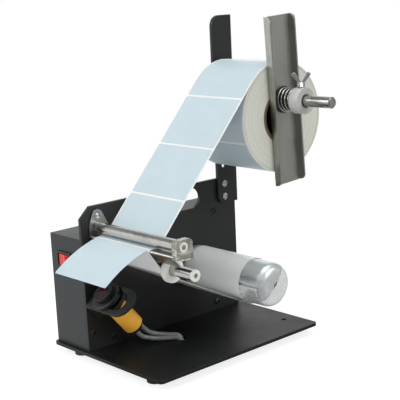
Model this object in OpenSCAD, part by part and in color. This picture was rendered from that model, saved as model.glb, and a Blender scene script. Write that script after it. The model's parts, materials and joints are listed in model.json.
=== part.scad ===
/* [Base] */
// Width of the base plate, across the machine
base_w = 151; // [149:1:160]
// Depth of the base plate, front to back
base_d = 193; // [189:1:200]
// Thickness of the base plate
base_t = 3; // [2.5:0.5:5]
// Rubber foot diameter
foot_d = 15; // [12:1:18]
// Rubber foot height under the plate
foot_h = 7.3; // [6.6:0.1:9]

/* [Frame] */
// Side plate depth, front to back
plate_d = 186; // [184:1:187]
// Side plate height above the base plate
plate_h = 130; // [128:1:140]
// Side plate thickness
plate_t = 3; // [2.5:0.5:4]
// Housing width, from the side plate outwards
housing_w = 44.5; // [42:0.5:45]
// Housing height above the base plate
housing_h = 102; // [100:1:103]
// Sheet thickness of the housing
sheet_t = 1.2; // [1:0.1:1.5]
// Carrying slot height
handle_h = 19; // [17:0.5:20]
// Carrying slot length
handle_l = 80; // [70:1:90]
// Upright bar width
upright_w = 25; // [24:0.5:26]
// Upright bar length
upright_l = 179.4; // [175:0.1:190]

/* [Spool] */
// Spool shaft diameter
spool_d = 10; // [8:0.5:10.5]
// Spool shaft length, from the upright to its free end
spool_l = 138; // [134:1:150]
// Height of the spool shaft above the base plate
spool_z = 210; // [205:1:214]
// Label roll diameter
roll_d = 100; // [80:1:102]
// Bore of the cardboard core
core_bore = 42; // [40:0.5:44]
// Liner width
liner_w = 72.5; // [60:0.5:73]
// Label width
label_w = 69; // [50:1:70]
// Label length
label_l = 50.8; // [48:0.1:51]
// Space between two labels
label_gap = 2; // [1.8:0.1:3]

/* [Clamp] */
// Clamp channel length
channel_l = 151; // [140:1:153]
// Clamp channel width
channel_w = 33; // [31:0.5:35]
// Clamp channel flange depth
channel_depth = 7; // [6:0.5:7.5]
// Channel sheet thickness
channel_t = 1.4; // [1:0.1:1.6]
// Lean of the channel from upright, degrees
channel_lean = 3.5; // [0:0.5:6]
// Spring coils
spring_turns = 4; // [3:0.5:4]
// Spring wire diameter
spring_wire = 1.1; // [0.8:0.1:1.2]
// Collar diameter
collar_d = 23.5; // [22:0.5:26]
// Collar length along the shaft
collar_l = 10.5; // [9:0.5:13]

/* [Rollers] */
// Outside diameter of both steel rollers
roller_d = 10; // [9.6:0.1:10.2]
// Nylon guide ring diameter
ring_d = 22; // [20:0.5:22.5]
// Nylon guide ring width
ring_w = 4; // [3:0.5:5]
// Sheet thickness of the peel plate
peel_t = 1.2; // [1:0.1:1.3]
// Length of the peel plate's edge along the machine's width
peel_l = 107; // [105:0.5:107]

/* [Take-up] */
// Take-up drum diameter
drum_d = 40; // [36:1:40]
// Take-up drum end, from the side plate
drum_l = 108; // [102:1:112]
// Wall of the removable clip
clip_wall = 2.2; // [1.8:0.1:3]

/* [Sensor] */
// Sensor barrel diameter
sensor_d = 18.6; // [17:0.1:18.8]
// Sensor length without its boot
sensor_l = 50; // [48:0.5:52]
// Tilt of the sensor, degrees below level
sensor_tilt = 50; // [48:1:52]
// Diameter of each lead strand
lead_d = 4.2; // [4:0.1:4.4]

/* [Hidden] */
eps = 0.5;
fit = 0.1;
run = 0.08;
film = 0.1;
clear = 0.3;
round_fn = 64;

base_side = 49.6;
base_front = 3.3;
base_r = 4;
base_holes = [[71.7, base_d - 17.7], [70.8, 41]];
base_hole_d = 5;
foot_inset = [24.4, 14.3];
foot_back_inset = 26;
foot_bore_d = 7;
foot_floor = 2.4;
screw_d = 4;
small_screw_d = 3;
button_d = 6.8;
button_h = 2;
socket_share = 0.36;
socket_depth_share = 0.8;
nut_af = 7;
nut_h = 2.4;
skin_t = 0.6;

chamfer_y = 11;
chamfer_z = 10;
handle_end = 140.2;
handle_z = 116.2;
lip_w = 12;
plate_screws_at = [[5.8, 17], [28, 8.2], [plate_d - 29.1, 98.6], [plate_d - 29, 8.2]];
floor_screws_at = [[-36, 36], [-14, 36], [-36, plate_d - 46], [-14, plate_d - 46]];

upright_y = plate_d - 24;
upright_z = 105.3;
upright_top_r = 10;
upright_foot_r = 7.5;
slot_z0 = 139.6;
slot_z1 = 228;
slot_w = 5.6;
spool_y = plate_d - 15.3;
upright_screw_z = [124.3, 111.9];
spool_chamfer = 1;
spool_thread_l = 14;
spool_washer_d = 10;
spool_washer_t = 1.2;
cap_d = 7;
cap_h = 4;

web_x0 = 9.3;
core_wall = 3;
core_drop = core_bore / 2 - spool_d / 2 - clear;
roll_at = [spool_y, spool_z - core_drop];
stop_d = 60;
stop_t = 2.4;
stop_hub_d = 20;

guide_at = [17.2, 110.6];
lower_at = [27.5, 85];
drum_at = [plate_d - 57.5, 51.2];
nose_at = [9.6, 103];
nose_r = peel_t;
web_t = 0.25;
label_t = 0.15;
label_glue = 0.005;
first_label = 17;
droop_start = 12.5;
droop_turn = 25;
droop_lift = 0.1;
droop_t = 0.2;
roller_wall = 1;
rod_d = 4;
guide_x0 = 2;
bush_l = 6;

peel_x0 = 1.5;
peel_slope = 2;
peel_rake = 46;
peel_top_l = 20;
peel_leg_l = 12.6;
tongue_screw_at = [17.5, 120.6];
tongue_r = 6;
tongue_side = [8.4, 114.3];
tongue_knee = [28.5, 112.2];
tongue_foot = 31;
block_t = 6;
block_play = 0.6;
block_x = [peel_x0 + peel_l, peel_x0 + peel_l + block_t];
guide_x1 = block_x[0] - block_play;
lower_reach = 7.9;
lower_x1 = guide_x1 + lower_reach;
block_y = [9.5, 27];
block_z = [101, 116.8];
block_r = 4;
block_lip_y = 17;
block_lip_z = 99.4;
block_bite = 2.7;
end_ring_d = 8.2;
end_ring_l = 3;
lower_x0 = 3.3;
lower_cap_l = 1.8;
ring_x = 84.7;

drum_x0 = 2;
drum_shaft_d = 8;
drum_shaft_in = 8;
drum_nose_r = 8;
liner_turns_t = 0.35;
clip_from_angle = 61;
clip_to_angle = 172;
clip_slot_turn = 6;
clip_gap_turn = 2.6;
clip_cap_angle = 214;
clip_cap_t = 4.2;
clip_cap_gap = 0.8;
clip_notch_d = 6;
bush_d = 12;
bush_flange_d = 16;
bush_flange_t = 1.2;

motor_d = 60;
motor_plate_w = 76;
motor_plate_h = 62;
motor_plate_t = 2;
motor_stud_at = [32, 25];
gear_l = 12;
gear_d = 54;
motor_l = 18;
board_at = [26, 20];
board_size = [60, 50];
board_t = 1.6;
board_inset = 4;
standoff_l = 6;
standoff_d = 6;
transformer_at = [6, 10];
transformer_size = [28, 30];
transformer_h = 22;
capacitor_d = 12;
capacitor_h = 18;
capacitor_at = [50, 32];
plug_at = [40, 2];
plug_size = [14, 9];
plug_h = 7;
inlet_at = [-25, 30];
inlet_d = 8;
inlet_flange_d = 13;
inlet_flange_t = 1.4;
inlet_l = 14;
inlet_bore_d = 5.6;
inlet_pin_d = 2;
inlet_depth = 9;

switch_x = -27.5;
switch_z = 79.9;
switch_w = 21;
switch_h = 15;
switch_rim = 1.6;
switch_wall = 1;
switch_edge = 2;
switch_depth = 15;
rocker_pivot_y = 4;
rocker_tip = 3;
rocker_waist = 1.9;
rocker_back = 5;
rocker_rest = 8;
rocker_pin_d = 2;
spade_w = 4.8;
spade_t = 0.8;
spade_l = 7;
spade_gap = 5;

sensor_at = [20, 36, 20];
barrel_l = 31;
barrel_edge = 1.2;
head_d = 18;
strap_at = 38.5;
strap_t = 3;
strap_w = 28;
strap_x = 38;
strap_slot_x = [20, 35];
strap_foot_l = 16;
strap_screw_y = 8.5;
strap_screw_in = 6;
nut_ring_d = 27;
nut_ring_t = 4;
lens_d = 14;
lens_sink = 1.2;
lens_t = 1;
boot_d = 14.6;
boot_l = 4;
boot_cone_share = 0.86;
strand_offset = [4.5, -2];

channel_drop = 0.8;
channel_x0 = web_x0 + liner_w + clear;
washer_x0 = channel_x0 + channel_t + fit;
washer_t = 1;
washer_d = 24;
spring_x0 = washer_x0 + washer_t + fit;
spring_r0 = 11;
spring_r1 = 9.2;
spring_free = 15.3;
collar_x0 = spring_x0 + spring_free + fit;
collar_mouth_d = 12;
collar_mouth_l = 2;
wing_hub_d = 6.6;
wing_hub_l = 4;
wing_t = 2;
wing_r = 1.9;
wing_reach = 6.4;
wing_rise = 11;
wing_turn = 48;
wing_seat = 0.4;
wing_side_share = 0.7;

base_x0 = -base_side;
mid_x = (base_x0 + plate_t + spool_l) / 2;
droop_r = label_l / droop_turn * 180 / PI;
droop_at = [nose_at[0] - nose_r, nose_at[1] + nose_r + film + web_t + droop_lift];
droop_tip = droop_at + droop_r * [sin(droop_start) - sin(droop_start + droop_turn),
                                  cos(droop_start + droop_turn) - cos(droop_start)];
mid_y = (droop_tip[0] - droop_t * sin(droop_start + droop_turn) + roll_at[0] + roll_d / 2) / 2;
floor_up = base_t + foot_h;

// Heading of the straight run between two circles; side is 1 for a centre on the left of travel
function heading(a, b) = let (d = b[0] - a[0])
    (atan2(d[1], d[0]) - asin((b[2] * b[1] - a[2] * a[1]) / norm(d)) + 360) % 360;
function left(h) = [-sin(h), cos(h)];
function touch(s, h) = [s[0] - s[2] * s[1] * left(h), left(h)];
web_stops = [
    [roll_at, roll_d / 2 + clear, 1],
    [guide_at, roller_d / 2 + clear + web_t + label_t, -1],
    [nose_at, nose_r + film, 1],
    [lower_at, roller_d / 2 + clear, 1],
    [drum_at, drum_d / 2 + clear + liner_turns_t + clear, 1]
];
web_heads = [for (i = [0:3]) heading(web_stops[i], web_stops[i + 1])];
bend_steps = 10;
web_path = concat(
    [touch(web_stops[0], web_heads[0])],
    [for (i = [1:3], k = [0:bend_steps])
        touch(web_stops[i], web_heads[i - 1] + (web_heads[i] - web_heads[i - 1]) * k / bend_steps)],
    [touch(web_stops[4], web_heads[3])]
);
web_len = [for (i = 0, s = 0; i < len(web_path);
    s = s + (i + 1 < len(web_path) ? norm(web_path[i + 1][0] - web_path[i][0]) : 0), i = i + 1) s];
function seg(s) = max([for (i = [0:len(web_path) - 2]) if (web_len[i] <= s) i]);
function along(s) = let (i = seg(s), f = (s - web_len[i]) / (web_len[i + 1] - web_len[i]))
    [for (c = [0, 1]) web_path[i][c] * (1 - f) + web_path[i + 1][c] * f];
function stretch(s0, s1) = concat([along(s0)],
    [for (i = [0:len(web_path) - 1]) if (web_len[i] > s0 + film && web_len[i] < s1 - film) web_path[i]],
    [along(s1)]);
nose_s = web_len[2 * bend_steps + 2];

// Smooth route through hand-picked points
function bend(a, b, c, d, t) = 0.5 * (2 * b + (c - a) * t
    + (2 * a - 5 * b + 4 * c - d) * t * t + (3 * b - a - 3 * c + d) * t * t * t);
function smooth(p, n) = concat([for (i = [0:len(p) - 2], k = [0:n - 1])
    bend(p[max(i - 1, 0)], p[i], p[i + 1], p[min(i + 2, len(p) - 1)], k / n)], [p[len(p) - 1]]);
function unit(v) = v / norm(v);
function run_dir(p, i) = unit(p[min(i + 1, len(p) - 1)] - p[max(i - 1, 0)]);
// Carries a side vector along the route without twist
function carry(p, u, i = 0, out = []) = i == len(p) ? out :
    let (t = run_dir(p, i), v = unit(u - (u * t) * t)) carry(p, v, i + 1, concat(out, [v]));

// Strand routes, from the boot over the base, down its hole and up into the housing
lead_hole = [35.4, 76.4];
lead_hole_d = 11;
lead_entry = [-20, 71];
lead_seat = 0.3;
boot_end = [for (o = strand_offset, l = boot_l + lead_seat)
    sensor_at + [0, o * sin(sensor_tilt) + l * cos(sensor_tilt),
                 o * cos(sensor_tilt) - l * sin(sensor_tilt)]];
lead_route = [
    [boot_end[0], [20.3, 47, 14.2], [20.9, 53, 8.9], [23.6, 62, 5.4], [28.6, 70, 3.6],
     [32.6, 76, 2.6], [34.2, 78.4, -1.6], [31.6, 79.6, -5.6], [25, 79.4, -6.2], [6, 77, -6.2],
     [-12, 74, -6.2], [-18.6, 73.6, -4.4], [-20, 73.6, 1], [-20, 73.6, 9], [-23, 73.6, 17],
     [-27.8, 73.6, 25], [-31.2, 73.6, 25.5]],
    [boot_end[1], [20.4, 43.6, 7.9], [23, 51, 4.6], [26.5, 59.5, 2.6], [32.4, 67.6, 2.3],
     [36, 72.8, 2], [37.4, 75.2, -1.6], [35, 75.2, -5.6], [28, 74.4, -6.2], [8, 71.4, -6.2],
     [-12, 69, -6.2], [-18.6, 68.6, -4.4], [-20, 68.6, 1], [-20, 68.6, 9], [-23, 68.6, 17],
     [-27.8, 68.6, 25], [-31.2, 68.6, 25.5]]
];
lead_steps = 2;

module placed() translate([-mid_x, -mid_y, floor_up]) children();
module rod_x(at, x0, x1, d) translate([x0, at[0], at[1]]) rotate([0, 90, 0])
    cylinder(h = x1 - x0, d = d, $fn = round_fn);
module tube_x(at, x0, x1, d, bore) difference() {
    rod_x(at, x0, x1, d);
    rod_x(at, x0 - eps, x1 + eps, bore);
}
module slab_x(x0, x1) translate([x0, 0, 0]) rotate([90, 0, 90]) linear_extrude(x1 - x0) children();
module block(a, b) translate(a) cube(b - a);
module strip(s0, s1, lo, hi) {
    q = stretch(s0, s1);
    polygon(concat([for (p = q) p[0] - lo * p[1]],
        [for (i = [len(q) - 1:-1:0]) q[i][0] - hi * q[i][1]]));
}
// Button-head screw along -Z from its seat at the origin, with a hex socket
module button(d, head_d, head_h, l) difference() {
    union() {
        translate([0, 0, -l]) cylinder(h = l + eps, d = d, $fn = round_fn);
        intersection() {
            cylinder(h = head_h, d = head_d, $fn = round_fn);
            translate([0, 0, -head_d * socket_share]) sphere(d = head_d + head_h, $fn = round_fn);
        }
    }
    translate([0, 0, head_h * (1 - socket_depth_share)])
        cylinder(h = head_h, d = d * 2 * socket_share + head_h / 2, $fn = 6);
}
module hex_nut(h, bore) difference() {
    cylinder(h = h, d = nut_af / cos(30), $fn = 6);
    translate([0, 0, -eps]) cylinder(h = h + 2 * eps, d = bore, $fn = round_fn);
}
module out_x() rotate([0, 90, 0]) children();
module on_sensor() translate(sensor_at) rotate([90 - sensor_tilt, 0, 0]) children();
module strand(route, d, sides) {
    p = smooth(route, lead_steps);
    u = carry(p, [1, 0.2, 0.3]);
    pts = [for (i = [0:len(p) - 1], k = [0:sides - 1]) let (t = run_dir(p, i), a = 360 * k / sides)
        p[i] + d / 2 * (cos(a) * u[i] + sin(a) * cross(t, u[i]))];
    polyhedron(pts, concat([[for (k = [sides - 1:-1:0]) k]],
        [for (i = [0:len(p) - 2], k = [0:sides - 1])
            [i * sides + k, i * sides + (k + 1) % sides, (i + 1) * sides + (k + 1) % sides]],
        [for (i = [0:len(p) - 2], k = [0:sides - 1])
            [i * sides + k, (i + 1) * sides + (k + 1) % sides, (i + 1) * sides + k]],
        [[for (k = [0:sides - 1]) (len(p) - 1) * sides + k]]), convexity = 6);
}

module base_plate() color([0.16, 0.17, 0.18]) placed() difference() {
    union() {
        translate([base_x0 + base_r, -base_front, -base_t]) cube([base_w - 2 * base_r, base_d, base_t]);
        translate([base_x0, base_r - base_front, -base_t]) cube([base_w, base_d - 2 * base_r, base_t]);
        for (x = [base_x0 + base_r, base_x0 + base_w - base_r],
             y = [base_r - base_front, base_d - base_front - base_r])
            translate([x, y, -base_t]) cylinder(h = base_t, r = base_r, $fn = round_fn);
    }
    for (h = base_holes) translate([h[0], h[1], -base_t - eps])
        cylinder(h = base_t + 2 * eps, d = base_hole_d, $fn = round_fn);
    for (h = [lead_hole, lead_entry]) translate([h[0], h[1], -base_t - eps])
        cylinder(h = base_t + 2 * eps, d = lead_hole_d, $fn = round_fn);
    for (h = floor_screws_at) translate([h[0], h[1], -base_t - eps])
        cylinder(h = base_t + 2 * eps, d = screw_d + 2 * fit, $fn = round_fn);
    at_feet() translate([0, 0, -base_t - eps])
        cylinder(h = base_t + eps - skin_t, d = small_screw_d + 2 * fit, $fn = round_fn);
}
module at_feet() for (x = [base_x0 + foot_inset[0], base_x0 + base_w - foot_inset[0]],
                      y = [foot_inset[1] - base_front, base_d - base_front - foot_back_inset])
    translate([x, y, 0]) children();
module rubber_feet() color([0.07, 0.07, 0.07]) placed() at_feet() difference() {
    translate([0, 0, -base_t - foot_h]) cylinder(h = foot_h, d = foot_d, $fn = round_fn);
    translate([0, 0, -base_t - foot_h - eps]) cylinder(h = foot_h - foot_floor + eps,
        d = foot_bore_d, $fn = round_fn);
    translate([0, 0, -base_t - foot_floor - eps]) cylinder(h = foot_floor + 2 * eps,
        d = small_screw_d + 2 * fit, $fn = round_fn);
}
module foot_screws() color("silver") placed() at_feet() translate([0, 0, -base_t - foot_floor])
    rotate([180, 0, 0]) button(small_screw_d, foot_bore_d - 2 * clear - fit, button_h,
        foot_floor + base_t - skin_t - clear);

module side_plate() color([0.2, 0.21, 0.22]) placed() difference() {
    slab_x(-plate_t, 0) polygon([[0, 0], [plate_d, 0], [plate_d, plate_h], [chamfer_y, plate_h],
        [0, plate_h - chamfer_z]]);
    for (y = [handle_end - handle_l + handle_h / 2, handle_end - handle_h / 2])
        rod_x([y, handle_z], -plate_t - eps, eps, handle_h);
    block([-plate_t - eps, handle_end - handle_l + handle_h / 2, handle_z - handle_h / 2],
        [eps, handle_end - handle_h / 2, handle_z + handle_h / 2]);
    for (s = plate_screws_at) rod_x(s, -plate_t - eps, eps, screw_d + 2 * fit);
    for (z = upright_screw_z) rod_x([spool_y, z], -plate_t - eps, eps, screw_d + 2 * fit);
    rod_x(tongue_screw_at, -plate_t - eps, eps, small_screw_d + 2 * fit);
    for (a = [guide_at, lower_at]) rod_x(a, -plate_t - eps, eps, rod_d + 2 * fit);
    rod_x(drum_at, -plate_t - eps, eps, bush_d + 2 * fit);
    at_studs() translate([-eps, 0, 0]) rod_x([0, 0], -plate_t, skin_t * 2 + eps - plate_t,
        screw_d + 2 * fit);
    at_strap_screws() translate([0, 0, -strap_t - plate_t - eps])
        cylinder(h = plate_t + 2 * eps, d = screw_d + 2 * fit, $fn = round_fn);
}
module at_studs() for (y = [-1, 1], z = [-1, 1])
    translate([0, drum_at[0] + y * motor_stud_at[0], drum_at[1] + z * motor_stud_at[1]]) children();
module at_strap_screws() on_sensor() for (y = [-1, 1])
    translate([strap_t - sensor_at[0], y * strap_screw_y, strap_at - strap_foot_l + strap_screw_in])
        out_x() children();

module motor_housing() color([0.17, 0.18, 0.19]) placed() difference() {
    block([-plate_t - housing_w, 0, 0], [-plate_t, plate_d, housing_h]);
    block([sheet_t - plate_t - housing_w, sheet_t, sheet_t],
        [-plate_t - sheet_t, plate_d - sheet_t, housing_h - sheet_t]);
    block([-plate_t - sheet_t - eps, sheet_t + lip_w, sheet_t + lip_w],
        [eps - plate_t, plate_d - sheet_t - lip_w, housing_h - sheet_t - lip_w]);
    for (s = plate_screws_at) rod_x(s, -plate_t - sheet_t - eps, eps - plate_t, screw_d + 2 * fit);
    for (s = floor_screws_at) translate([s[0], s[1], -eps])
        cylinder(h = sheet_t + 2 * eps, d = screw_d + 2 * fit, $fn = round_fn);
    translate([lead_entry[0], lead_entry[1], -eps])
        cylinder(h = sheet_t + 2 * eps, d = lead_hole_d, $fn = round_fn);
    block([switch_x - switch_w / 2 + switch_wall - fit, -eps, switch_z - switch_h / 2 + switch_wall - fit],
        [switch_x + switch_w / 2 - switch_wall + fit, sheet_t + eps,
         switch_z + switch_h / 2 - switch_wall + fit]);
    translate([inlet_at[0], plate_d + eps, inlet_at[1]]) rotate([90, 0, 0])
        cylinder(h = sheet_t + 2 * eps, d = inlet_d + 2 * fit, $fn = round_fn);
    for (y = [board_at[0] + board_inset, board_at[0] + board_size[0] - board_inset],
         z = [board_at[1] + board_inset, board_at[1] + board_size[1] - board_inset])
        rod_x([y, z], -plate_t - housing_w - eps, 2 * sheet_t - plate_t - housing_w,
            small_screw_d + 2 * fit);
}
module plate_screws() color([0.1, 0.1, 0.1]) placed() for (s = plate_screws_at)
    translate([0, s[0], s[1]]) out_x() button(screw_d, button_d, button_h, plate_t + sheet_t + nut_h);
module floor_screws() color([0.12, 0.12, 0.12]) placed() for (s = floor_screws_at)
    translate([s[0], s[1], -base_t]) rotate([180, 0, 0])
        button(screw_d, button_d, button_h, base_t + sheet_t + nut_h);
module floor_nuts() color("silver") placed()
    for (s = floor_screws_at) translate([s[0], s[1], sheet_t]) hex_nut(nut_h, screw_d + 2 * fit);

module upright_bar() color([0.22, 0.23, 0.24]) placed() difference() {
    block([0, upright_y, upright_z], [plate_t, upright_y + upright_w, upright_z + upright_l]);
    corner(upright_z + upright_l - upright_top_r, upright_top_r, 1);
    corner(upright_z + upright_foot_r, upright_foot_r, -1);
    for (z = [slot_z0 + slot_w / 2, slot_z1 - slot_w / 2]) rod_x([spool_y, z], -eps, plate_t + eps, slot_w);
    block([-eps, spool_y - slot_w / 2, slot_z0 + slot_w / 2],
        [plate_t + eps, spool_y + slot_w / 2, slot_z1 - slot_w / 2]);
    for (z = upright_screw_z) rod_x([spool_y, z], -eps, plate_t + eps, screw_d + 2 * fit);
}
// Rounds the bar's front corner at height z, upwards or downwards
module corner(z, r, way) difference() {
    block([-eps, upright_y - eps, min(z, z + way * (r + eps))],
        [plate_t + eps, upright_y + r, max(z, z + way * (r + eps))]);
    rod_x([upright_y + r, z], -2 * eps, plate_t + 2 * eps, 2 * r);
}
module upright_screws() color("silver") placed() for (z = upright_screw_z)
    translate([plate_t, spool_y, z]) out_x() button(screw_d, button_d, button_h, 2 * plate_t);

module spool_shaft() color([0.75, 0.75, 0.74]) placed() difference() {
    union() {
        rod_x([spool_y, spool_z], plate_t, plate_t + spool_l - spool_chamfer, spool_d);
        translate([plate_t + spool_l - spool_chamfer, spool_y, spool_z]) out_x()
            cylinder(h = spool_chamfer, d1 = spool_d, d2 = spool_d - 2 * spool_chamfer, $fn = round_fn);
    }
    rod_x([spool_y, spool_z], plate_t - eps, plate_t + spool_thread_l, screw_d + 2 * fit);
}
module shaft_washer() color("silver") placed()
    tube_x([spool_y, spool_z], -spool_washer_t, 0, spool_washer_d, screw_d + 2 * fit);
module shaft_screw() color([0.2, 0.2, 0.2]) placed() translate([-spool_washer_t, spool_y, spool_z])
    rotate([0, -90, 0]) button(screw_d, cap_d, cap_h, spool_washer_t + plate_t + spool_thread_l - 2 * clear);
module roll_stop() color([0.75, 0.76, 0.77]) placed() difference() {
    union() {
        rod_x([spool_y, spool_z], plate_t, web_x0 - clear, stop_hub_d);
        rod_x([spool_y, spool_z], web_x0 - clear - stop_t, web_x0 - clear, stop_d);
    }
    rod_x([spool_y, spool_z], plate_t - eps, web_x0 + eps, spool_d + 2 * fit);
}
module roll_core() color([0.72, 0.6, 0.45]) placed()
    tube_x(roll_at, web_x0, web_x0 + liner_w, core_bore + 2 * core_wall, core_bore);
module label_roll() color([0.86, 0.86, 0.8]) placed()
    tube_x(roll_at, web_x0, web_x0 + liner_w, roll_d, core_bore + 2 * core_wall + fit);
module liner_web() color([0.9, 0.93, 0.93]) placed() slab_x(web_x0, web_x0 + liner_w)
    strip(0, web_len[len(web_len) - 1], 0, web_t);
label_pitch = label_l + label_gap;
label_in = web_t + label_glue;
label_x0 = web_x0 + (liner_w - label_w) / 2;
module web_labels() color([0.82, 0.88, 0.91]) placed() slab_x(label_x0, label_x0 + label_w) {
    strip(label_gap, first_label, label_in, label_in + label_t);
    for (k = [0:2]) let (s = first_label + label_gap + k * label_pitch)
        strip(s, min(s + label_l, nose_s - label_gap), label_in, label_in + label_t);
}
module dispensed_label() color([0.84, 0.89, 0.92]) placed() slab_x(label_x0, label_x0 + label_w)
    polygon([for (s = [0, 1], k = [0:bend_steps]) let (
        f = s == 0 ? k : bend_steps - k,
        h = 180 + droop_start + droop_turn * f / bend_steps,
        c = droop_at + droop_r * left(180 + droop_start))
        c - (droop_r + s * droop_t) * left(h)]);

module clamp_channel() color([0.62, 0.61, 0.58]) placed() translate([channel_x0, spool_y, spool_z])
    rotate([channel_lean, 0, 0]) difference() {
        translate([0, -channel_w / 2, -channel_l / 2 - channel_drop])
            cube([channel_depth, channel_w, channel_l]);
        translate([channel_t, channel_t - channel_w / 2, -channel_l / 2 - channel_drop - eps])
            cube([channel_depth, channel_w - 2 * channel_t, channel_l + 2 * eps]);
        for (m = [0, 1]) translate([0, 0, -channel_drop]) mirror([0, 0, m]) difference() {
            translate([channel_t + eps, -channel_w / 2 - eps, channel_l / 2 - channel_depth + channel_t + eps])
                cube([channel_depth, channel_w + 2 * eps, channel_depth]);
            translate([channel_t + eps, channel_w / 2 + 2 * eps,
                channel_l / 2 - channel_depth + channel_t + eps]) rotate([90, 0, 0])
                cylinder(h = channel_w + 4 * eps, r = channel_depth - channel_t - eps, $fn = round_fn);
        }
        translate([-eps, 0, 0]) out_x()
            cylinder(h = channel_t + 2 * eps, d = spool_d + 2 * run, $fn = round_fn);
    }
module clamp_washer() color([0.7, 0.7, 0.7]) placed()
    tube_x([spool_y, spool_z], washer_x0, washer_x0 + washer_t, washer_d, spool_d + 2 * run);
spring_path = [for (i = [0:spring_turns * 8]) let (a = i * 45, f = i / (spring_turns * 8),
    r = spring_r0 + (spring_r1 - spring_r0) * f)
    [spring_x0 + spring_wire / 2 + (spring_free - spring_wire) * f,
     spool_y + r * cos(a), spool_z + r * sin(a)]];
spring_gap = min([for (i = [0:len(spring_path) - 9])
    min([for (k = [6:10]) if (i + k < len(spring_path)) norm(spring_path[i + k] - spring_path[i])])])
    - spring_wire;
module clamp_spring() color([0.7, 0.7, 0.68]) placed() {
    echo(spring_gap = spring_gap);
    coil(spring_path, spring_wire, 6);
}
module coil(p, d, sides) {
    u = carry(p, [1, 0, 0]);
    pts = [for (i = [0:len(p) - 1], k = [0:sides - 1]) let (t = run_dir(p, i), a = 360 * k / sides)
        p[i] + d / 2 * (cos(a) * u[i] + sin(a) * cross(t, u[i]))];
    polyhedron(pts, concat([[for (k = [sides - 1:-1:0]) k]],
        [for (i = [0:len(p) - 2], k = [0:sides - 1])
            [i * sides + k, i * sides + (k + 1) % sides, (i + 1) * sides + (k + 1) % sides]],
        [for (i = [0:len(p) - 2], k = [0:sides - 1])
            [i * sides + k, (i + 1) * sides + (k + 1) % sides, (i + 1) * sides + k]],
        [[for (k = [0:sides - 1]) (len(p) - 1) * sides + k]]), convexity = 10);
}
module shaft_collar() color([0.74, 0.76, 0.77]) placed() difference() {
    rod_x([spool_y, spool_z], collar_x0, collar_x0 + collar_l, collar_d);
    rod_x([spool_y, spool_z], collar_x0 - eps, collar_x0 + collar_l + eps, spool_d + 2 * run);
    rod_x([spool_y, spool_z], collar_x0 + collar_l - collar_mouth_l, collar_x0 + collar_l + eps,
        collar_mouth_d);
    translate([collar_x0 + collar_l / 2, spool_y, spool_z])
        cylinder(h = collar_d, d = screw_d + 2 * run, $fn = round_fn);
}
module wing_screw() color([0.7, 0.71, 0.7]) placed()
    translate([collar_x0 + collar_l / 2, spool_y, spool_z]) {
        translate([0, 0, spool_d / 2 + clear])
            cylinder(h = collar_d / 2 - spool_d / 2 + wing_seat + eps, d = screw_d, $fn = round_fn);
        translate([0, 0, collar_d / 2 + wing_seat]) {
            cylinder(h = wing_hub_l, d = wing_hub_d, $fn = round_fn);
            rotate([0, 0, wing_turn]) for (m = [0, 1]) mirror([m, 0, 0])
                translate([0, wing_t / 2, 0]) rotate([90, 0, 0]) linear_extrude(wing_t) {
                    polygon([[0, 0],
                        [wing_reach + wing_r * wing_side_share, wing_rise - wing_r * wing_side_share],
                        [wing_reach - wing_r * wing_side_share, wing_rise + wing_r * wing_side_share],
                        [0, wing_hub_l]]);
                    translate([wing_reach, wing_rise]) circle(r = wing_r, $fn = round_fn);
                }
        }
    }

module peel_plate() color([0.66, 0.66, 0.64]) placed() difference() {
    union() {
        slab_x(0, peel_x0) tongue();
        slab_x(peel_x0 - eps, block_x[0] - clear) { top_leg(0); leg(); }
        slab_x(block_x[0] - clear - eps, block_x[0] + block_bite) top_leg(0);
    }
    rod_x(tongue_screw_at, -eps, peel_x0 + eps, small_screw_d + 2 * fit);
    rod_x(guide_at, -eps, peel_x0 + eps, rod_d + 2 * fit);
}
module top_leg(grow) translate(nose_at) {
    circle(r = nose_r + grow, $fn = round_fn);
    rotate(peel_slope) translate([0, -grow]) square([peel_top_l + grow, nose_r + 2 * grow]);
}
module leg() translate(nose_at) rotate(-peel_rake) translate([0, -nose_r]) square([peel_leg_l, nose_r]);
module tongue() {
    polygon([[nose_at[0] - nose_r, nose_at[1] - nose_r / 2], [tongue_foot, nose_at[1] - nose_r / 2],
        [tongue_foot, nose_at[1] + nose_r],
        tongue_knee, tongue_screw_at + tongue_r * [cos(30), sin(30)], tongue_screw_at,
        tongue_screw_at + tongue_r * [cos(155), sin(155)], tongue_side]);
    translate(tongue_screw_at) circle(r = tongue_r, $fn = round_fn);
}
module tongue_screw() color("silver") placed()
    translate([peel_x0, tongue_screw_at[0], tongue_screw_at[1]]) out_x()
        button(small_screw_d, button_d * 0.8, button_h * 0.8, peel_x0 + plate_t);
module guide_tube() color([0.72, 0.72, 0.71]) placed()
    tube_x(guide_at, guide_x0, guide_x1, roller_d, roller_d - 2 * roller_wall);
module guide_bushes() color([0.85, 0.85, 0.82]) placed()
    for (x = [guide_x0, guide_x1 - bush_l]) tube_x(guide_at, x, x + bush_l,
        roller_d - 2 * roller_wall - fit, rod_d + 2 * run);
module guide_shaft() color([0.6, 0.6, 0.6]) placed()
    rod_x(guide_at, -plate_t, block_x[1] + clear, rod_d);
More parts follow.
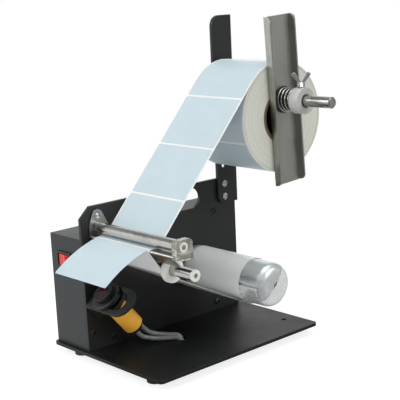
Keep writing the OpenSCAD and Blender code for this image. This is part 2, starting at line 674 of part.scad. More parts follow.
module end_block() color([0.82, 0.84, 0.82, 0.6]) placed() difference() {
    union() {
        block([block_x[0], block_y[0], block_z[0]], [block_x[1], block_y[1], block_z[1] - block_r]);
        block([block_x[0], block_y[0] + block_r, block_z[1] - block_r - eps],
            [block_x[1], block_y[1] - block_r, block_z[1]]);
        for (y = [block_y[0] + block_r, block_y[1] - block_r])
            rod_x([y, block_z[1] - block_r], block_x[0], block_x[1], 2 * block_r);
        block([block_x[0], block_lip_y, block_lip_z], [block_x[1], block_y[1], block_z[0] + eps]);
    }
    rod_x(guide_at, block_x[0] - eps, block_x[1] + eps, rod_d + 2 * fit);
    rod_x(guide_at, block_x[1] + clear - end_ring_l - fit, block_x[1] + eps, end_ring_d + 2 * fit);
    slab_x(block_x[0] - eps, block_x[0] + block_bite + fit) top_leg(fit);
}
module end_ring() color([0.88, 0.88, 0.86]) placed()
    tube_x(guide_at, block_x[1] + clear - end_ring_l, block_x[1] + clear, end_ring_d, rod_d + 2 * fit);
module lower_tube() color([0.72, 0.72, 0.71]) placed()
    tube_x(lower_at, lower_x0, lower_x1 - lower_cap_l, roller_d, roller_d - 2 * roller_wall);
module lower_bushes() color([0.88, 0.88, 0.86]) placed() {
    tube_x(lower_at, lower_x0, lower_x0 + bush_l, roller_d - 2 * roller_wall - fit, rod_d + 2 * run);
    difference() {
        union() {
            rod_x(lower_at, lower_x1 - lower_cap_l - bush_l, lower_x1, roller_d - 2 * roller_wall - fit);
            rod_x(lower_at, lower_x1 - lower_cap_l + fit / 2, lower_x1, roller_d);
        }
        rod_x(lower_at, lower_x0, lower_x1 + eps, rod_d + 2 * run);
    }
}
module lower_shaft() color([0.6, 0.6, 0.6]) placed() rod_x(lower_at, -plate_t, lower_x1 - clear, rod_d);
module guide_ring() color([0.84, 0.84, 0.81]) placed()
    tube_x(lower_at, ring_x, ring_x + ring_w, ring_d, roller_d + 2 * run);

// Rounded-end drum body, its axis along X
module drum_blank() translate([0, drum_at[0], drum_at[1]]) out_x() rotate_extrude($fn = 2 * round_fn) {
    translate([0, drum_x0]) square([drum_d / 2, drum_l - drum_x0 - drum_nose_r]);
    translate([0, drum_l - drum_nose_r - eps]) square([drum_d / 2 - drum_nose_r, drum_nose_r + eps]);
    intersection() {
        translate([drum_d / 2 - drum_nose_r, drum_l - drum_nose_r]) circle(r = drum_nose_r, $fn = round_fn);
        translate([0, drum_l - drum_nose_r - eps]) square([drum_d, drum_nose_r + eps]);
    }
}
// Wedge about the drum axis between two angles, from +Y towards +Z
module wedge(x0, x1, a0, a1) slab_x(x0, x1) translate(drum_at) polygon(concat([[0, 0]],
    [for (k = [0:4]) drum_d * [cos(a0 + (a1 - a0) * k / 4), sin(a0 + (a1 - a0) * k / 4)]]));
module clip_zone(gap) {
    difference() {
        wedge(drum_x0 - eps, drum_l + eps, clip_from_angle - (gap > 0 ? clip_gap_turn : 0),
            clip_to_angle + (gap > 0 ? clip_slot_turn : 0));
        rod_x(drum_at, drum_x0 - 2 * eps, drum_l - clip_cap_t - gap, drum_d - 2 * clip_wall - 2 * gap);
    }
    wedge(drum_l - clip_cap_t - (gap > 0 ? clip_cap_gap : 0), drum_l + eps,
        clip_from_angle - (gap > 0 ? clip_gap_turn : 0), clip_cap_angle + (gap > 0 ? clip_gap_turn : 0));
}
module takeup_drum() color([0.78, 0.79, 0.8]) placed() difference() {
    drum_blank();
    clip_zone(clear);
    rod_x(drum_at, drum_x0 - eps, drum_l - drum_shaft_in + fit, drum_shaft_d + 2 * fit);
}
module liner_clip() color([0.82, 0.83, 0.84]) placed() difference() {
    intersection() { drum_blank(); clip_zone(0); }
    rod_x(drum_at, drum_l - clip_cap_t - eps, drum_l + eps, clip_notch_d);
}
module takeup_liner() color([0.9, 0.92, 0.91]) placed()
    tube_x(drum_at, web_x0, web_x0 + liner_w, drum_d + 2 * clear + 2 * liner_turns_t, drum_d + 2 * clear);
module drum_shaft() color([0.6, 0.6, 0.6]) placed()
    rod_x(drum_at, -plate_t - motor_plate_t - gear_l / 2, drum_l - drum_shaft_in, drum_shaft_d);
module side_bush() color([0.7, 0.52, 0.28]) placed() difference() {
    union() {
        rod_x(drum_at, -plate_t, 0, bush_d);
        rod_x(drum_at, 0, bush_flange_t, bush_flange_d);
    }
    rod_x(drum_at, -plate_t - eps, bush_flange_t + eps, drum_shaft_d + 2 * run);
}

module motor_gearbox() color([0.55, 0.56, 0.57]) placed() difference() {
    union() {
        translate([-plate_t - motor_plate_t, drum_at[0] - motor_plate_w / 2, drum_at[1] - motor_plate_h / 2])
            cube([motor_plate_t, motor_plate_w, motor_plate_h]);
        rod_x(drum_at, -plate_t - motor_plate_t - gear_l, -plate_t - motor_plate_t + fit, gear_d);
    }
    rod_x(drum_at, -plate_t - motor_plate_t - gear_l / 2 - clear, eps - plate_t, drum_shaft_d + 2 * run);
    at_studs() rod_x([0, 0], -plate_t - motor_plate_t - gear_l - eps, eps - plate_t, screw_d + 2 * fit);
}
module motor_case() color([0.3, 0.31, 0.32]) placed() rod_x(drum_at,
    -plate_t - motor_plate_t - gear_l - motor_l, -plate_t - motor_plate_t - gear_l, motor_d);
module motor_studs() color("silver") placed() at_studs()
    rod_x([0, 0], -plate_t - motor_plate_t - nut_h - skin_t, 2 * skin_t - plate_t, screw_d);
module motor_nuts() color("silver") placed() at_studs()
    translate([-plate_t - motor_plate_t - nut_h, 0, 0]) out_x() hex_nut(nut_h, screw_d + 2 * fit);
board_x = sheet_t - plate_t - housing_w + standoff_l;
module board_holes() for (y = [board_inset, board_size[0] - board_inset],
                          z = [board_inset, board_size[1] - board_inset])
    translate([0, board_at[0] + y, board_at[1] + z]) children();
module control_board() color([0.1, 0.4, 0.2]) placed() difference() {
    block([board_x, board_at[0], board_at[1]],
        [board_x + board_t, board_at[0] + board_size[0], board_at[1] + board_size[1]]);
    board_holes() rod_x([0, 0], board_x - eps, board_x + board_t + eps, small_screw_d + 2 * fit);
}
module board_standoffs() color("gold") placed() board_holes() {
    rod_x([0, 0], board_x - standoff_l, board_x, standoff_d);
    rod_x([0, 0], board_x - standoff_l - sheet_t, board_x - standoff_l + fit, small_screw_d);
    rod_x([0, 0], board_x - fit, board_x + board_t + skin_t, small_screw_d);
}
module on_board(at, size, h) block([board_x + board_t, board_at[0] + at[0], board_at[1] + at[1]],
    [board_x + board_t + h, board_at[0] + at[0] + size[0], board_at[1] + at[1] + size[1]]);
module transformer() color([0.85, 0.7, 0.2]) placed()
    on_board(transformer_at, transformer_size, transformer_h);
module capacitor() color([0.15, 0.2, 0.5]) placed()
    rod_x(board_at + capacitor_at, board_x + board_t, board_x + board_t + capacitor_h, capacitor_d);
module lead_plug() color("white") placed() on_board(plug_at, plug_size, plug_h);
module power_inlet() color([0.1, 0.1, 0.1]) placed()
    translate([inlet_at[0], plate_d + inlet_flange_t, inlet_at[1]]) rotate([90, 0, 0]) {
        difference() {
            union() {
                cylinder(h = inlet_l, d = inlet_d, $fn = round_fn);
                cylinder(h = inlet_flange_t, d = inlet_flange_d, $fn = round_fn);
                translate([0, 0, inlet_flange_t + sheet_t])
                    cylinder(h = nut_h, d = inlet_flange_d, $fn = 6);
            }
            translate([0, 0, -eps]) cylinder(h = inlet_depth + eps, d = inlet_bore_d, $fn = round_fn);
        }
        translate([0, 0, inlet_flange_t]) cylinder(h = inlet_depth, d = inlet_pin_d, $fn = round_fn);
    }

module switch_bezel() color([0.08, 0.08, 0.08]) placed() translate([switch_x, 0, switch_z]) difference() {
    union() {
        block([-switch_w / 2, -switch_rim, -switch_h / 2], [switch_w / 2, 0, switch_h / 2]);
        block([switch_wall - switch_w / 2, -switch_rim / 2, switch_wall - switch_h / 2],
            [switch_w / 2 - switch_wall, switch_depth, switch_h / 2 - switch_wall]);
        for (x = [-1, 1]) translate([x * spade_gap - spade_t / 2, switch_depth - eps, -spade_w / 2])
            cube([spade_t, spade_l + eps, spade_w]);
    }
    block([switch_edge - switch_w / 2, -switch_rim - eps, switch_edge - switch_h / 2],
        [switch_w / 2 - switch_edge, switch_depth - switch_edge, switch_h / 2 - switch_edge]);
    translate([0, rocker_pivot_y, -switch_h / 2 + switch_wall])
        cylinder(h = switch_h - 2 * switch_wall, d = rocker_pin_d + 2 * run, $fn = round_fn);
}
rocker_r = switch_w / 2 - switch_edge - clear;
module switch_rocker() color([0.85, 0.12, 0.12]) placed()
    translate([switch_x, rocker_pivot_y, switch_z]) rotate([0, 0, -rocker_rest]) {
        translate([0, 0, switch_edge + clear - switch_h / 2])
            linear_extrude(switch_h - 2 * switch_edge - 2 * clear) intersection() {
                circle(r = rocker_r, $fn = round_fn);
                polygon([[-switch_w, -rocker_tip - rocker_pivot_y - (rocker_tip - rocker_waist)],
                    [0, -rocker_waist - rocker_pivot_y],
                    [switch_w, -rocker_tip - rocker_pivot_y - (rocker_tip - rocker_waist)],
                    [switch_w / 4, rocker_back], [-switch_w / 4, rocker_back]]);
            }
        translate([0, 0, switch_wall + fit - switch_h / 2])
            cylinder(h = switch_h - 2 * switch_wall - 2 * fit, d = rocker_pin_d, $fn = round_fn);
    }

module sensor_strap() color([0.14, 0.15, 0.16]) placed() difference() {
    on_sensor() translate([-sensor_at[0], 0, strap_at]) {
        translate([0, -strap_w / 2, 0]) cube([strap_x, strap_w, strap_t]);
        translate([strap_x, 0, 0]) cylinder(h = strap_t, d = strap_w, $fn = round_fn);
        translate([0, -strap_w / 2, -strap_foot_l]) cube([strap_t, strap_w, strap_foot_l + eps]);
    }
    on_sensor() translate([-sensor_at[0], 0, strap_at - eps]) {
        for (x = strap_slot_x) translate([x, 0, 0])
            cylinder(h = strap_t + 2 * eps, d = head_d + 2 * fit, $fn = round_fn);
        translate([strap_slot_x[0], -head_d / 2 - fit, 0])
            cube([strap_slot_x[1] - strap_slot_x[0], head_d + 2 * fit, strap_t + 2 * eps]);
    }
    at_strap_screws() translate([0, 0, -strap_t - eps])
        cylinder(h = strap_t + 2 * eps, d = screw_d + 2 * fit, $fn = round_fn);
}
module strap_screws() color([0.3, 0.3, 0.3]) placed() at_strap_screws()
    button(screw_d, button_d, button_h, strap_t + plate_t);
module sensor_barrel() color([0.93, 0.6, 0.13]) placed() on_sensor() rotate_extrude($fn = round_fn)
    polygon([[0, 0], [sensor_d / 2 - barrel_edge, 0], [sensor_d / 2, barrel_edge],
        [sensor_d / 2, barrel_l], [0, barrel_l]]);
module sensor_head() color([0.1, 0.1, 0.11]) placed() on_sensor() difference() {
    translate([0, 0, barrel_l]) cylinder(h = sensor_l - barrel_l, d = head_d, $fn = round_fn);
    translate([0, 0, sensor_l - lens_sink]) cylinder(h = lens_sink + eps, d = lens_d + 2 * fit, $fn = round_fn);
}
module sensor_lens() color([0.2, 0.1, 0.12]) placed() on_sensor()
    translate([0, 0, sensor_l - lens_sink]) cylinder(h = lens_t, d = lens_d, $fn = round_fn);
module sensor_nuts() color([0.09, 0.09, 0.1]) placed() on_sensor()
    for (z = [strap_at - nut_ring_t, strap_at + strap_t]) translate([0, 0, z]) difference() {
        cylinder(h = nut_ring_t, d = nut_ring_d, $fn = round_fn);
        translate([0, 0, -eps]) cylinder(h = nut_ring_t + 2 * eps, d = head_d + 2 * fit, $fn = round_fn);
    }
module sensor_boot() color([0.1, 0.1, 0.1]) placed() on_sensor() translate([0, 0, -boot_l])
    cylinder(h = boot_l, d1 = boot_d * boot_cone_share, d2 = boot_d, $fn = round_fn);
module sensor_lead() color([0.45, 0.46, 0.47]) placed() for (r = lead_route) strand(r, lead_d, 8);

base_plate();
rubber_feet();
foot_screws();
side_plate();
motor_housing();
plate_screws();
floor_screws();
floor_nuts();
upright_bar();
upright_screws();
spool_shaft();
shaft_washer();
shaft_screw();
roll_stop();
roll_core();
label_roll();
liner_web();
web_labels();
dispensed_label();
clamp_channel();
clamp_washer();
clamp_spring();
shaft_collar();
wing_screw();
peel_plate();
tongue_screw();
guide_tube();
guide_bushes();
guide_shaft();
end_block();
end_ring();
lower_tube();
lower_bushes();
lower_shaft();
guide_ring();
takeup_drum();
liner_clip();
takeup_liner();
drum_shaft();
side_bush();
motor_case();
motor_gearbox();
motor_studs();
motor_nuts();
control_board();
board_standoffs();
transformer();
capacitor();
lead_plug();
power_inlet();
switch_bezel();
switch_rocker();
sensor_strap();
strap_screws();
sensor_barrel();
sensor_head();
sensor_lens();
sensor_nuts();
sensor_boot();
sensor_lead();
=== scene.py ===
import bpy, bmesh, json, math
from mathutils import Matrix, Vector, noise

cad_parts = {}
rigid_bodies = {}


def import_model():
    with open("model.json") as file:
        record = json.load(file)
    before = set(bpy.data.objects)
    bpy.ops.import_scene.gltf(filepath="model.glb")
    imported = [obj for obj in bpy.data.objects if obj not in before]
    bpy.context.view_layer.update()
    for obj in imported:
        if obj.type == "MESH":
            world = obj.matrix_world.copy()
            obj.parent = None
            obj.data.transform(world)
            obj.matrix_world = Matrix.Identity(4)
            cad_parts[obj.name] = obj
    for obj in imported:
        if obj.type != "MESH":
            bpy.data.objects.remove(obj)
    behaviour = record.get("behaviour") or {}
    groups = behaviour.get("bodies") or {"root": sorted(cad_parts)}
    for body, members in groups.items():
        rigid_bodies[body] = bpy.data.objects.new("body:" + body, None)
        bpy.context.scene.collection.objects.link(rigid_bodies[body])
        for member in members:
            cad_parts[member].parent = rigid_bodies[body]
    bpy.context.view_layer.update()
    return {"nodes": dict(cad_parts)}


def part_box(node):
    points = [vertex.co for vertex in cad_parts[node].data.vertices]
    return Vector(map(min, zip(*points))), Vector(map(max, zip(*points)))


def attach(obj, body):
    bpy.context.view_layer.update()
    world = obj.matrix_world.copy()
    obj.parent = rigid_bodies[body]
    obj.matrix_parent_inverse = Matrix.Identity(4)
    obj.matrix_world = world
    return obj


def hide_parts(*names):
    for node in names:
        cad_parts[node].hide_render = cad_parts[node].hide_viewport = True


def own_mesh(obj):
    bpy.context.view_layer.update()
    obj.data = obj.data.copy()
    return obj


for leftOver in list(bpy.data.objects):
    bpy.data.objects.remove(leftOver)
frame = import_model()
nodes = frame["nodes"]
print("frame: %d CAD nodes" % len(nodes))

mm = 0.001
plateThick = 3.0
# the side plate's front lower corner, from which every place below is measured in mm
plateCorner = Vector(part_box("side_plate")[0]) + Vector((plateThick, 0, 0)) * mm


def place(x, y, z):
    return plateCorner + Vector((x, y, z)) * mm


# camera and studio

cameraSet = {"place": (710.4, -500.6, 316.4), "yaw": 47.95, "pitch": 12.01, "roll": -2.67,
             "focalPixels": 1026.6, "picturePixels": 400, "sensor": 36.0, "clip": (0.01, 30)}


def makeCamera():
    yaw, pitch, roll = (math.radians(cameraSet[k]) for k in ("yaw", "pitch", "roll"))
    ahead = Vector((-math.sin(yaw) * math.cos(pitch), math.cos(yaw) * math.cos(pitch), -math.sin(pitch)))
    side = Vector((math.cos(yaw), math.sin(yaw), 0))
    above = side.cross(ahead)
    right = side * math.cos(roll) + above * math.sin(roll)
    up = above * math.cos(roll) - side * math.sin(roll)
    data = bpy.data.cameras.new("photoCamera")
    data.sensor_width = cameraSet["sensor"]
    data.lens = cameraSet["focalPixels"] * cameraSet["sensor"] / cameraSet["picturePixels"]
    data.clip_start, data.clip_end = cameraSet["clip"]
    camera = bpy.data.objects.new("photoCamera", data)
    bpy.context.scene.collection.objects.link(camera)
    turn = Matrix((right, up, -ahead)).transposed().to_4x4()
    camera.matrix_world = Matrix.Translation(place(*cameraSet["place"])) @ turn
    bpy.context.scene.camera = camera


studioSet = {
    "lamps": {  # place in m, aim in m, size in m, watts
        "frontLamp": ((-0.75, -1.5, 1.15), (0.0, -0.05, 0.12), 1.1, 18),
        "rightLamp": ((1.7, 0.55, 1.0), (0.0, 0.0, 0.12), 0.9, 11),
        "topLamp": ((0.15, 0.1, 1.9), (0.0, 0.0, 0.0), 1.4, 14),
    },
    "worldLight": 0.47,
    # what gloss sees of the room: a dim tone, and paler sides as (direction, from, to, how much)
    "roomTone": 0.30,
    "paleSides": (((-0.72, -0.66, -0.15), 0.70, 0.97, 0.62), ((-0.70, 0.70, 0.12), 0.72, 0.97, 0.85),
                  ((0.25, -0.25, 0.93), 0.72, 0.98, 0.45), ((0.73, 0.65, -0.20), 0.78, 0.98, 0.14)),
    # the floor, in m: it keeps the shadow near the machine and is plain white further out
    "floorGlow": 0.80, "floorTone": 0.35, "floorMatt": 0.8, "floorSize": 9.0, "floorSink": 0.0002,
    "shadeReach": (0.26, 0.62),
}


def shaderNode(tree, kind, inputs=(), **settings):
    made = tree.nodes.new("ShaderNode" + kind)
    for key, value in settings.items():
        setattr(made, key, value)
    for key, value in dict(inputs).items():
        if isinstance(value, bpy.types.NodeSocket):
            tree.links.new(value, made.inputs[key])
        else:
            made.inputs[key].default_value = value
    return made


def mathNode(tree, operation, *values, clamp=False):
    return shaderNode(tree, "Math", dict(enumerate(values)), operation=operation, use_clamp=clamp).outputs[0]


def vectorMath(tree, operation, *values):
    made = shaderNode(tree, "VectorMath", dict(enumerate(values)), operation=operation)
    return made.outputs["Value" if operation in ("DOT_PRODUCT", "LENGTH") else "Vector"]


def smoothRamp(tree, value, start, end, top=1.0):
    return shaderNode(tree, "MapRange", {"Value": value, "From Min": start, "From Max": end, "To Max": top},
                      interpolation_type="SMOOTHSTEP").outputs[0]


def plainLight(tree, kind, strength):
    return shaderNode(tree, kind, {"Color": (1, 1, 1, 1), "Strength": strength}).outputs[0]


def plainMatt(tree, tone):
    return shaderNode(tree, "BsdfDiffuse", {"Color": (tone, tone, tone, 1)}).outputs[0]


def mixShader(tree, share, first, second):
    return shaderNode(tree, "MixShader", {0: share, 1: first, 2: second}).outputs[0]


def seenStraight(tree, rays):
    # 1 where the camera looks, also through clear plastic
    return mathNode(tree, "MAXIMUM", rays["Is Camera Ray"], rays["Is Transmission Ray"])


def roomTone(tree, toward):
    # how pale the room is in a direction, as polished metal shows it
    tone = studioSet["roomTone"]
    for side, start, end, amount in studioSet["paleSides"]:
        facing = vectorMath(tree, "DOT_PRODUCT", toward, Vector(side).normalized())
        tone = mathNode(tree, "ADD", tone, smoothRamp(tree, facing, start, end, amount))
    return tone


def makeWorld():
    world = bpy.data.worlds.new("paleStudio")
    world.use_nodes = True
    bpy.context.scene.world = world
    tree = world.node_tree
    tree.nodes.clear()
    rays = shaderNode(tree, "LightPath").outputs
    toward = shaderNode(tree, "TexCoord").outputs["Generated"]
    room = plainLight(tree, "Background", roomTone(tree, toward))
    light = plainLight(tree, "Background", studioSet["worldLight"])
    lit = mixShader(tree, rays["Is Glossy Ray"], light, room)
    whole = mixShader(tree, seenStraight(tree, rays), lit, plainLight(tree, "Background", 1.0))
    shaderNode(tree, "OutputWorld", {"Surface": whole})


def makeLamps():
    for name, (spot, aim, size, watts) in studioSet["lamps"].items():
        data = bpy.data.lights.new(name, "AREA")
        data.shape, data.size, data.energy = "DISK", size, watts
        lamp = bpy.data.objects.new(name, data)
        bpy.context.scene.collection.objects.link(lamp)
        lamp.location = spot
        lamp.rotation_euler = (Vector(aim) - Vector(spot)).to_track_quat("-Z", "Y").to_euler()


def makeFloor():
    floor = bpy.data.materials.new("paleFloor")
    floor.use_nodes = True
    tree = floor.node_tree
    tree.nodes.clear()
    rays = shaderNode(tree, "LightPath").outputs
    spot = shaderNode(tree, "NewGeometry").outputs["Position"]
    bare = smoothRamp(tree, vectorMath(tree, "LENGTH", spot), *studioSet["shadeReach"])
    lit = shaderNode(tree, "AddShader", {0: plainMatt(tree, studioSet["floorTone"]),
                                         1: plainLight(tree, "Emission", studioSet["floorGlow"])}).outputs[0]
    shown = mixShader(tree, bare, lit, plainLight(tree, "Emission", 1.0))
    mirrored = plainLight(tree, "Emission", roomTone(tree, vectorMath(tree, "NORMALIZE", spot)))
    matt = mixShader(tree, rays["Is Glossy Ray"], plainMatt(tree, studioSet["floorMatt"]), mirrored)
    whole = mixShader(tree, seenStraight(tree, rays), matt, shown)
    shaderNode(tree, "OutputMaterial", {"Surface": whole})
    half = studioSet["floorSize"] / 2
    mesh = bpy.data.meshes.new("studioFloor")
    mesh.from_pydata([(-half, -half, 0), (half, -half, 0), (half, half, 0), (-half, half, 0)], [],
                     [(0, 1, 2, 3)])
    mesh.materials.append(floor)
    ground = bpy.data.objects.new("studioFloor", mesh)
    ground.location.z = -studioSet["floorSink"]
    bpy.context.scene.collection.objects.link(ground)


bpy.context.scene.view_settings.view_transform = "Standard"
makeCamera()
makeWorld()
makeLamps()
makeFloor()
print("studio: camera, %d lamps, floor" % len(studioSet["lamps"]))

# shared surface effects, each a node group that gives masks, heights and normals


def effectGroup(name, takes, gives):
    # takes: first value of each input; gives: names of the outputs
    group = bpy.data.node_groups.new(name, "ShaderNodeTree")
    for label, start in takes.items():
        kind = "NodeSocketVector" if isinstance(start, tuple) else "NodeSocketFloat"
        made = group.interface.new_socket(name=label, in_out="INPUT", socket_type=kind)
        made.default_value = start
    for label in gives:
        kind = "NodeSocketVector" if label == "Normal" else "NodeSocketFloat"
        group.interface.new_socket(name=label, in_out="OUTPUT", socket_type=kind)
    return group, group.nodes.new("NodeGroupInput").outputs, group.nodes.new("NodeGroupOutput").inputs


def giveAll(group, gives, **values):
    for label, value in values.items():
        group.links.new(value, gives[label])
    return group


def objectPlace(tree):
    return shaderNode(tree, "TexCoord").outputs["Object"]


def noiseAt(tree, spot, scale, detail, roughness=0.5, distortion=0.0, gives="Fac"):
    return shaderNode(tree, "TexNoise", {"Vector": spot, "Scale": scale, "Detail": detail, "Roughness": roughness,
                                         "Distortion": distortion}).outputs[gives]


def noiseAlong(tree, distance, pace, detail, roughness=0.5):
    return shaderNode(tree, "TexNoise", {"W": mathNode(tree, "MULTIPLY", distance, pace), "Scale": 1.0,
                                         "Detail": detail, "Roughness": roughness},
                      noise_dimensions="1D").outputs["Fac"]


coatPeelSet = {"size": 900.0, "gritRatio": 3.1, "gritShare": 0.35, "patchScale": 26.0}


def makeCoatPeel():
    # the fine orange-peel skin of sprayed powder, with slow patches of thicker coat
    s = coatPeelSet
    group, takes, gives = effectGroup("coatPeel", {"Size": s["size"]}, ("Height", "Patches"))
    spot = objectPlace(group)
    peel = noiseAt(group, spot, takes["Size"], 2.0)
    grit = noiseAt(group, spot, mathNode(group, "MULTIPLY", takes["Size"], s["gritRatio"]), 1.0)
    both = mathNode(group, "MULTIPLY_ADD", grit, s["gritShare"], peel)
    return giveAll(group, gives, Height=both, Patches=noiseAt(group, spot, s["patchScale"], 4.0, 0.6))


edgeWearAndHighlightSet = {"width": 0.0006, "break": 160.0, "samples": 4, "gain": 6.0, "contrast": 3.0, "cut": -1.1}


def makeEdgeWearAndHighlight():
    # 1 along convex edges, broken up so that a rubbed edge isn't a ruled line; the finishes mix a lighter edge
    # colour in by it, for rubbed wear and a painted edge highlight
    s = edgeWearAndHighlightSet
    group, takes, gives = effectGroup("edgeWearAndHighlight", {"Width": s["width"], "Break": s["break"]}, ("Mask", "Normal"))
    rounded = shaderNode(group, "Bevel", {"Radius": takes["Width"]}, samples=s["samples"]).outputs[0]
    flat = shaderNode(group, "NewGeometry").outputs["Normal"]
    turned = mathNode(group, "SUBTRACT", 1.0, vectorMath(group, "DOT_PRODUCT", rounded, flat))
    strong = mathNode(group, "MULTIPLY", turned, s["gain"], clamp=True)
    specks = noiseAt(group, objectPlace(group), takes["Break"], 5.0, 0.7)
    broken = mathNode(group, "MULTIPLY_ADD", specks, s["contrast"], s["cut"], clamp=True)
    return giveAll(group, gives, Mask=mathNode(group, "MULTIPLY", strong, broken), Normal=rounded)


drawnLinesSet = {"stretch": (20.0, 20.0, 1500.0), "cloudScale": 45.0}


def makeDrawnLines():
    # long fine lines: Stretch says how fast the metal changes along x, y and z
    s = drawnLinesSet
    group, takes, gives = effectGroup("drawnLines", {"Stretch": s["stretch"]}, ("Lines", "Cloud"))
    spot = objectPlace(group)
    lines = noiseAt(group, vectorMath(group, "MULTIPLY", spot, takes["Stretch"]), 1.0, 4.0, 0.6)
    return giveAll(group, gives, Lines=lines, Cloud=noiseAt(group, spot, s["cloudScale"], 3.0, 0.55))


mouldSkinSet = {"size": 2200.0, "patchScale": 90.0}


def makeMouldSkin():
    # spark-etched mould texture and slight gloss patches of moulded plastic
    s = mouldSkinSet
    group, takes, gives = effectGroup("mouldSkin", {"Size": s["size"]}, ("Height", "Gloss"))
    spot = objectPlace(group)
    cells = shaderNode(group, "TexVoronoi", {"Vector": spot, "Scale": takes["Size"]}).outputs["Distance"]
    return giveAll(group, gives, Height=cells, Gloss=noiseAt(group, spot, s["patchScale"], 3.0))


paperFibreSet = {"size": 700.0, "bendScale": 120.0, "bendBy": (0.004, 0.004, 0.004), "cloudScale": 60.0}


def makePaperFibre():
    # short crossed fibres and the cloudy look-through of pressed paper
    s = paperFibreSet
    group, takes, gives = effectGroup("paperFibre", {"Size": s["size"]}, ("Fibres", "Cloud"))
    spot = objectPlace(group)
    bend = noiseAt(group, spot, s["bendScale"], 2.0, gives="Color")
    warped = vectorMath(group, "MULTIPLY_ADD", bend, s["bendBy"], spot)
    fibres = noiseAt(group, warped, takes["Size"], 6.0, 0.75, 1.2)
    return giveAll(group, gives, Fibres=fibres, Cloud=noiseAt(group, spot, s["cloudScale"], 5.0, 0.6))


dustFilmSet = {"amount": 0.2, "size": 420.0, "fallPower": 3.0, "contrast": 2.4, "cut": -0.9}


def makeDustFilm():
    # dust that settles on faces that look up
    s = dustFilmSet
    group, takes, gives = effectGroup("dustFilm", {"Amount": s["amount"], "Size": s["size"]}, ("Mask",))
    normal = shaderNode(group, "NewGeometry").outputs["Normal"]
    facing = shaderNode(group, "SeparateXYZ", {0: normal}).outputs["Z"]
    up = mathNode(group, "POWER", mathNode(group, "MAXIMUM", facing, 0.0), s["fallPower"])
    specks = noiseAt(group, objectPlace(group), takes["Size"], 6.0, 0.8)
    sharp = mathNode(group, "MULTIPLY_ADD", specks, s["contrast"], s["cut"], clamp=True)
    mask = mathNode(group, "MULTIPLY", mathNode(group, "MULTIPLY", up, sharp), takes["Amount"])
    return giveAll(group, gives, Mask=mask)


windRingsSet = {"wobbleScale": 30.0, "wobble": 0.0006, "layerPace": 1900.0, "bandPace": 260.0, "speckScale": 240.0}


def makeWindRings():
    # the edges of wound layers, seen end on as fine rings round a centre on the X axis
    s = windRingsSet
    group, takes, gives = effectGroup("windRings", {"Centre": (0.0, 0.0, 0.0)}, ("Layers", "Bands", "Specks"))
    off = vectorMath(group, "SUBTRACT", objectPlace(group), takes["Centre"])
    radius = vectorMath(group, "LENGTH", vectorMath(group, "MULTIPLY", off, (0.0, 1.0, 1.0)))
    wobble = noiseAt(group, off, s["wobbleScale"], 2.0)
    bent = mathNode(group, "MULTIPLY_ADD", wobble, s["wobble"], radius)
    return giveAll(group, gives, Layers=noiseAlong(group, bent, s["layerPace"], 3.0, 0.7),
                   Bands=noiseAlong(group, bent, s["bandPace"], 2.0),
                   Specks=noiseAt(group, off, s["speckScale"], 4.0, 0.7))


effects = {"coatPeel": makeCoatPeel(), "edgeWearAndHighlight": makeEdgeWearAndHighlight(), "drawnLines": makeDrawnLines(),
           "mouldSkin": makeMouldSkin(), "paperFibre": makePaperFibre(), "dustFilm": makeDustFilm(),
           "windRings": makeWindRings()}
print("effects:", ", ".join(effects))

# finishes; depth and edge are in mm, sizes and stretches are counts in a metre

finishes = {}
# the part of a noise's range that a mix takes up
spans = {"usual": (0.3, 0.7), "coat": (0.35, 0.65), "stain": (0.22, 0.5), "fibres": (0.25, 0.45),
         "layers": (0.34, 0.62), "bands": (0.28, 0.5), "specks": (0.27, 0.36), "mask": (0.0, 1.0)}


def grey(tone):
    return (tone, tone, tone)


def makeFinishes(maker, looks):
    for name, look in looks.items():
        finishes[name] = maker(name, look)


def newFinish(name, look, **plain):
    material = bpy.data.materials.new(name)
    material.use_nodes = True
    tree = material.node_tree
    tree.nodes.clear()
    body = shaderNode(tree, "BsdfPrincipled", {"Roughness": look["gloss"][0], **plain})
    shaderNode(tree, "OutputMaterial", {"Surface": body.outputs[0]})
    return material, tree, body


def effect(tree, name, **inputs):
    made = tree.nodes.new("ShaderNodeGroup")
    made.node_tree = effects[name]
    for key, value in inputs.items():
        made.inputs[key].default_value = value
    return made.outputs


def colourBetween(tree, amount, first, second, span="usual"):
    # mixes two colours, or colour sockets, as amount goes along the span
    low, high = spans[span]
    share = shaderNode(tree, "MapRange", {"Value": amount, "From Min": low, "From Max": high}).outputs[0]
    pair = shaderNode(tree, "Mix", {0: share}, data_type="RGBA")
    for socket, value in ((pair.inputs[6], first), (pair.inputs[7], second)):
        if isinstance(value, bpy.types.NodeSocket):
            tree.links.new(value, socket)
        else:
            socket.default_value = (*value, 1)
    return pair.outputs[2]


def valueBetween(tree, amount, first, second, span="usual"):
    low, high = spans[span]
    return shaderNode(tree, "MapRange", {"Value": amount, "From Min": low, "From Max": high,
                                         "To Min": first, "To Max": second}).outputs[0]


def paint(tree, body, tone, gloss=None):
    tree.links.new(tone, body.inputs["Base Color"])
    if gloss is not None:
        tree.links.new(gloss, body.inputs["Roughness"])


def raised(tree, body, height, look, strength=1.0, wearAndHighlight=None):
    inputs = {"Height": height, "Distance": look["depth"] * mm, "Strength": strength}
    if wearAndHighlight is not None:
        inputs["Normal"] = wearAndHighlight["Normal"]
    tree.links.new(shaderNode(tree, "Bump", inputs).outputs[0], body.inputs["Normal"])


